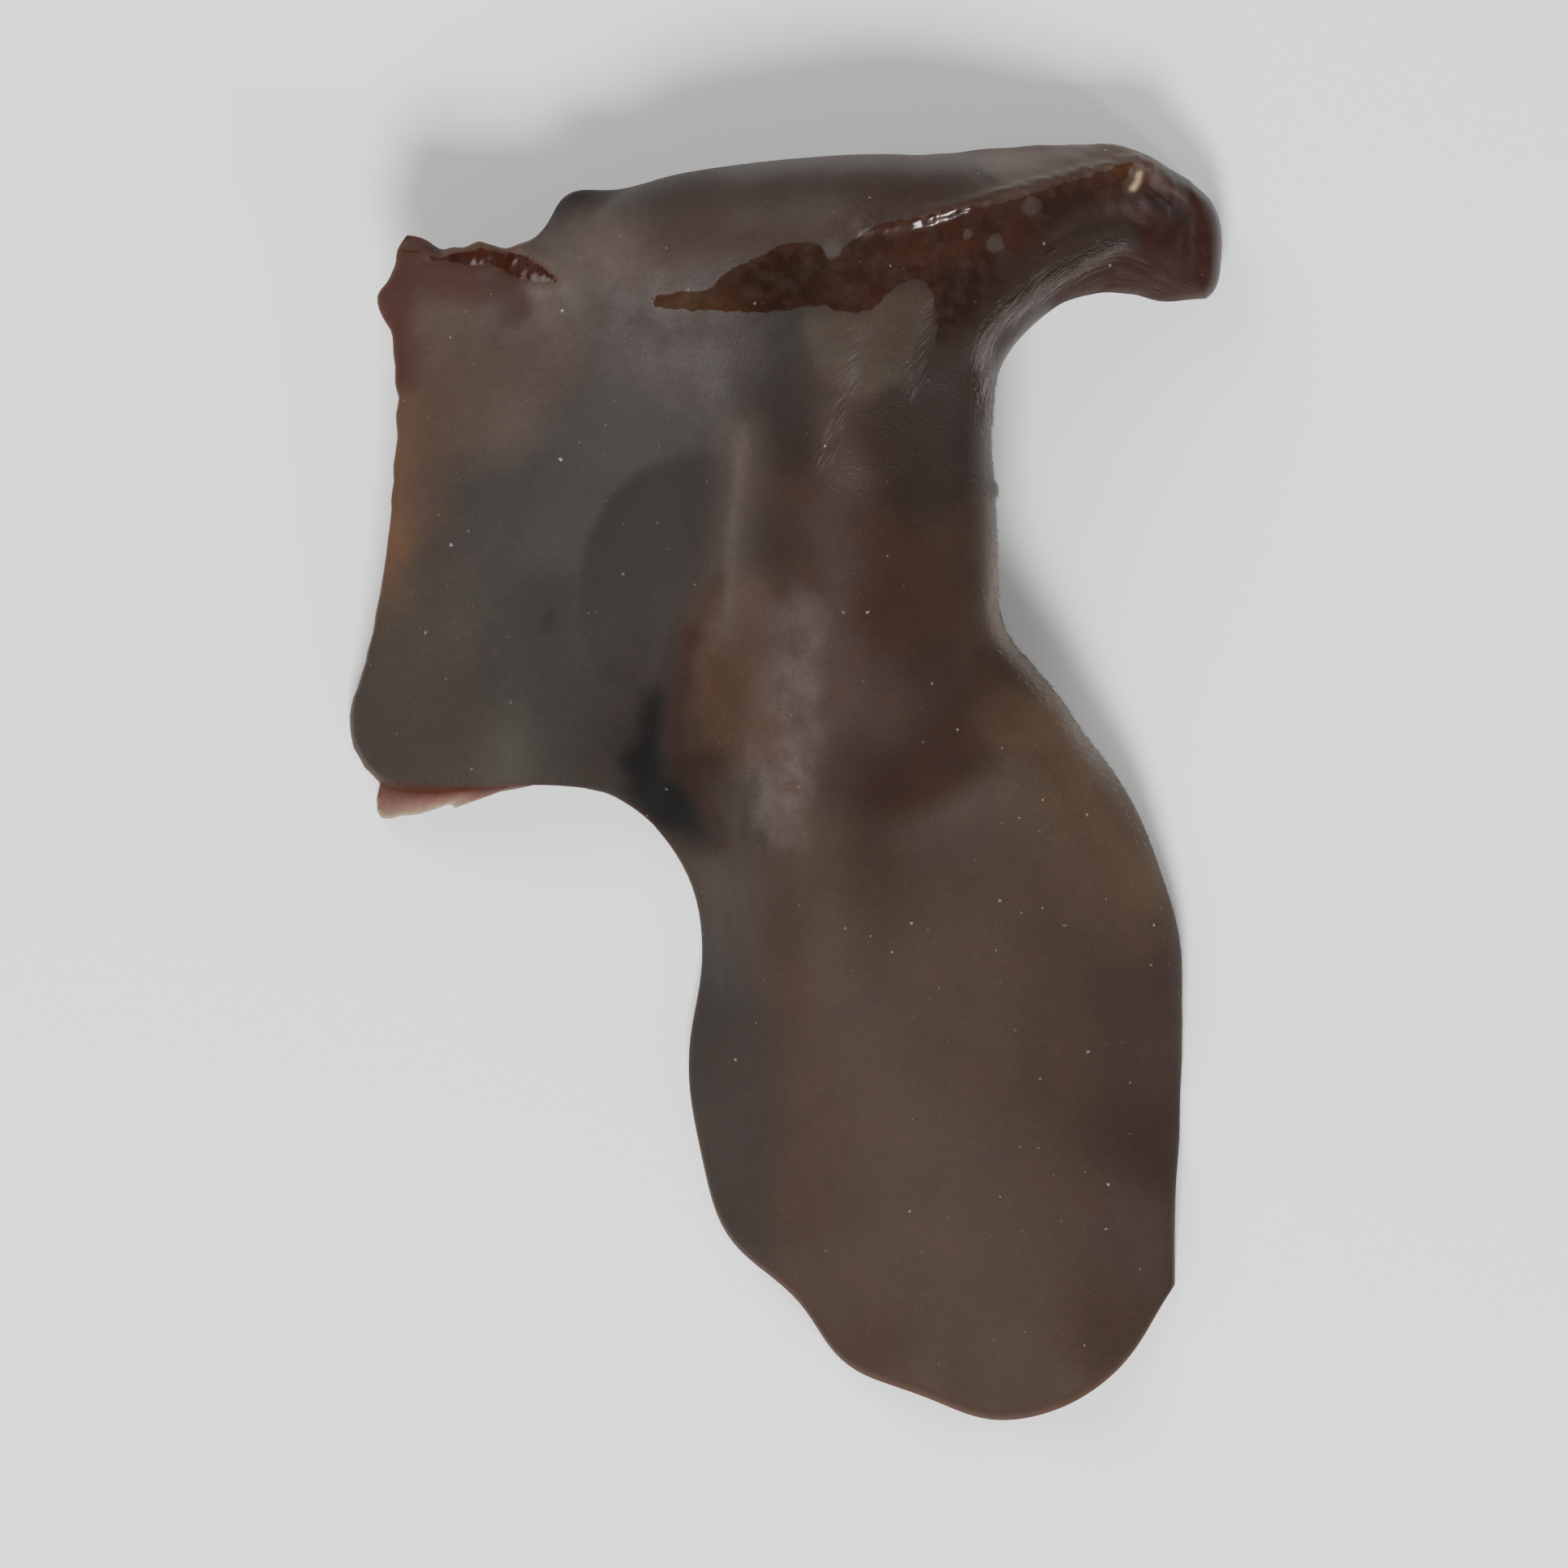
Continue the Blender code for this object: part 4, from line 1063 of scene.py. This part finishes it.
def downy_skin():
    """Velvety and pale grey, with a fine nap under the hairs."""
    material, shader = new_material("downy_skin", DOWNY_LOOK)
    tree = material.node_tree
    painted = add(tree, "ShaderNodeAttribute", attribute_name="tint")
    tree.links.new(mottled(tree, painted.outputs["Color"], NAP_MOTTLE), shader.inputs["Base Color"])
    place = add(tree, "ShaderNodeTexCoord").outputs["Object"]
    nap = noise(tree, place, NAP_GRAIN, 4.0).outputs["Fac"]
    surface = {"Strength": 0.6, "Distance": NAP_DEPTH, "Height": nap}
    tree.links.new(add(tree, "ShaderNodeBump", surface).outputs[0], shader.inputs["Normal"])
    return material


ear = linked("ear_flesh", mesh)
mesh.materials.append(smooth_skin())
mesh.materials.append(downy_skin())
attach(ear, "root")
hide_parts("ear")


# The down: fine short hairs that cover the whole underside and the outer side of the neck, and
# thin out to a pale band along the right crest and rim. They grow from the flesh and lean towards
# the margin. None grows where the flesh rests on the table.
HAIR_LENGTH = 0.42
HAIR_LENGTH_RANGE = (0.5, 1.2)
HAIR_RADIUS = 0.022
UNDERSIDE_HAIRS = 30000
CREST_HAIRS = 4000
CREST_HAIR_STRETCH = 1.7
UNDERSIDE_LEAN = 0.9
CREST_LEAN = 2.6
DISORDER = 0.35
ROOT_DEPTH = 0.05
RESTING_GAP = 0.7
TABLE_GAP = 0.02
HAIR_LOOK = {"Base Color": colour(108, 102, 97), "Roughness": 0.8}

flesh = ear.data
quads = values_of(flesh.polygons, "vertices", 4, int)
areas = values_of(flesh.polygons, "area")
facing = values_of(flesh.polygons, "normal", 3)
corner_places = values_of(flesh.vertices, "co", 3)[quads] / MM
clear_of_table = (corner_places[:, :, 2] > RESTING_GAP).all(axis=1)
crest = np.maximum(bump(distance_to(RIGHT_CREST, spot), 0.7), 0.7 * waist)
crest = np.where(top, crest, 0.0)[quads].mean(axis=1)
under = (~top)[quads].all(axis=1)

bm = bmesh.new()
bmesh.ops.create_cone(bm, cap_ends=True, segments=3, radius1=HAIR_RADIUS, radius2=0.0, depth=HAIR_LENGTH)
bmesh.ops.triangulate(bm, faces=bm.faces[:])
bmesh.ops.recalc_face_normals(bm, faces=bm.faces[:])
bmesh.ops.translate(bm, verts=bm.verts[:], vec=(0.0, 0.0, HAIR_LENGTH / 2))
bmesh.ops.remove_doubles(bm, verts=bm.verts[:], dist=HAIR_RADIUS / 10)
blade = np.array([vertex.co[:] for vertex in bm.verts])
blade_faces = np.array([[vertex.index for vertex in face.verts] for face in bm.faces])
bm.free()

random = np.random.default_rng(21)


def chosen(weight, count):
    """Faces picked at random, more often where the weight is high."""
    share = weight * areas * clear_of_table
    return random.choice(len(quads), count, p=share / share.sum())


picked = np.concatenate([chosen(under, UNDERSIDE_HAIRS), chosen(crest, CREST_HAIRS)])
on_crest = (np.arange(len(picked)) >= UNDERSIDE_HAIRS)[:, None]
s, t = random.uniform(0.0, 1.0, (2, len(picked), 1))
first, second, third, fourth = corner_places[picked].transpose(1, 0, 2)
roots = (1 - s) * ((1 - t) * first + t * fourth) + s * ((1 - t) * second + t * third)
roots = roots - ROOT_DEPTH * facing[picked]
lean = ahead[quads[picked][:, 0]]
lean = lean / np.linalg.norm(lean, axis=1)[:, None]
lean = lean * np.where(on_crest, CREST_LEAN, UNDERSIDE_LEAN)
upward = facing[picked] + lean + DISORDER * random.normal(size=(len(picked), 3))
upward /= np.linalg.norm(upward, axis=1)[:, None]
sideways = np.cross(upward, random.normal(size=(len(picked), 3)))
sideways /= np.linalg.norm(sideways, axis=1)[:, None]
across = np.cross(upward, sideways)
lengths = random.uniform(*HAIR_LENGTH_RANGE, (len(picked), 1)) * np.where(on_crest, CREST_HAIR_STRETCH, 1.0)
hairs = np.stack([roots + x * sideways + y * across + z * lengths * upward for x, y, z in blade], axis=1)
hairs = hairs.reshape(-1, 3)
hairs[:, 2] = np.maximum(hairs[:, 2], TABLE_GAP)
faces = (blade_faces[None] + len(blade) * np.arange(len(picked))[:, None, None]).reshape(-1, 3)

mesh = bpy.data.meshes.new("down")
mesh.from_pydata((hairs * MM).tolist(), [], faces.tolist())
mesh.update()
down = linked("down", mesh)
mesh.materials.append(new_material("down", HAIR_LOOK)[0])
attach(down, "root")
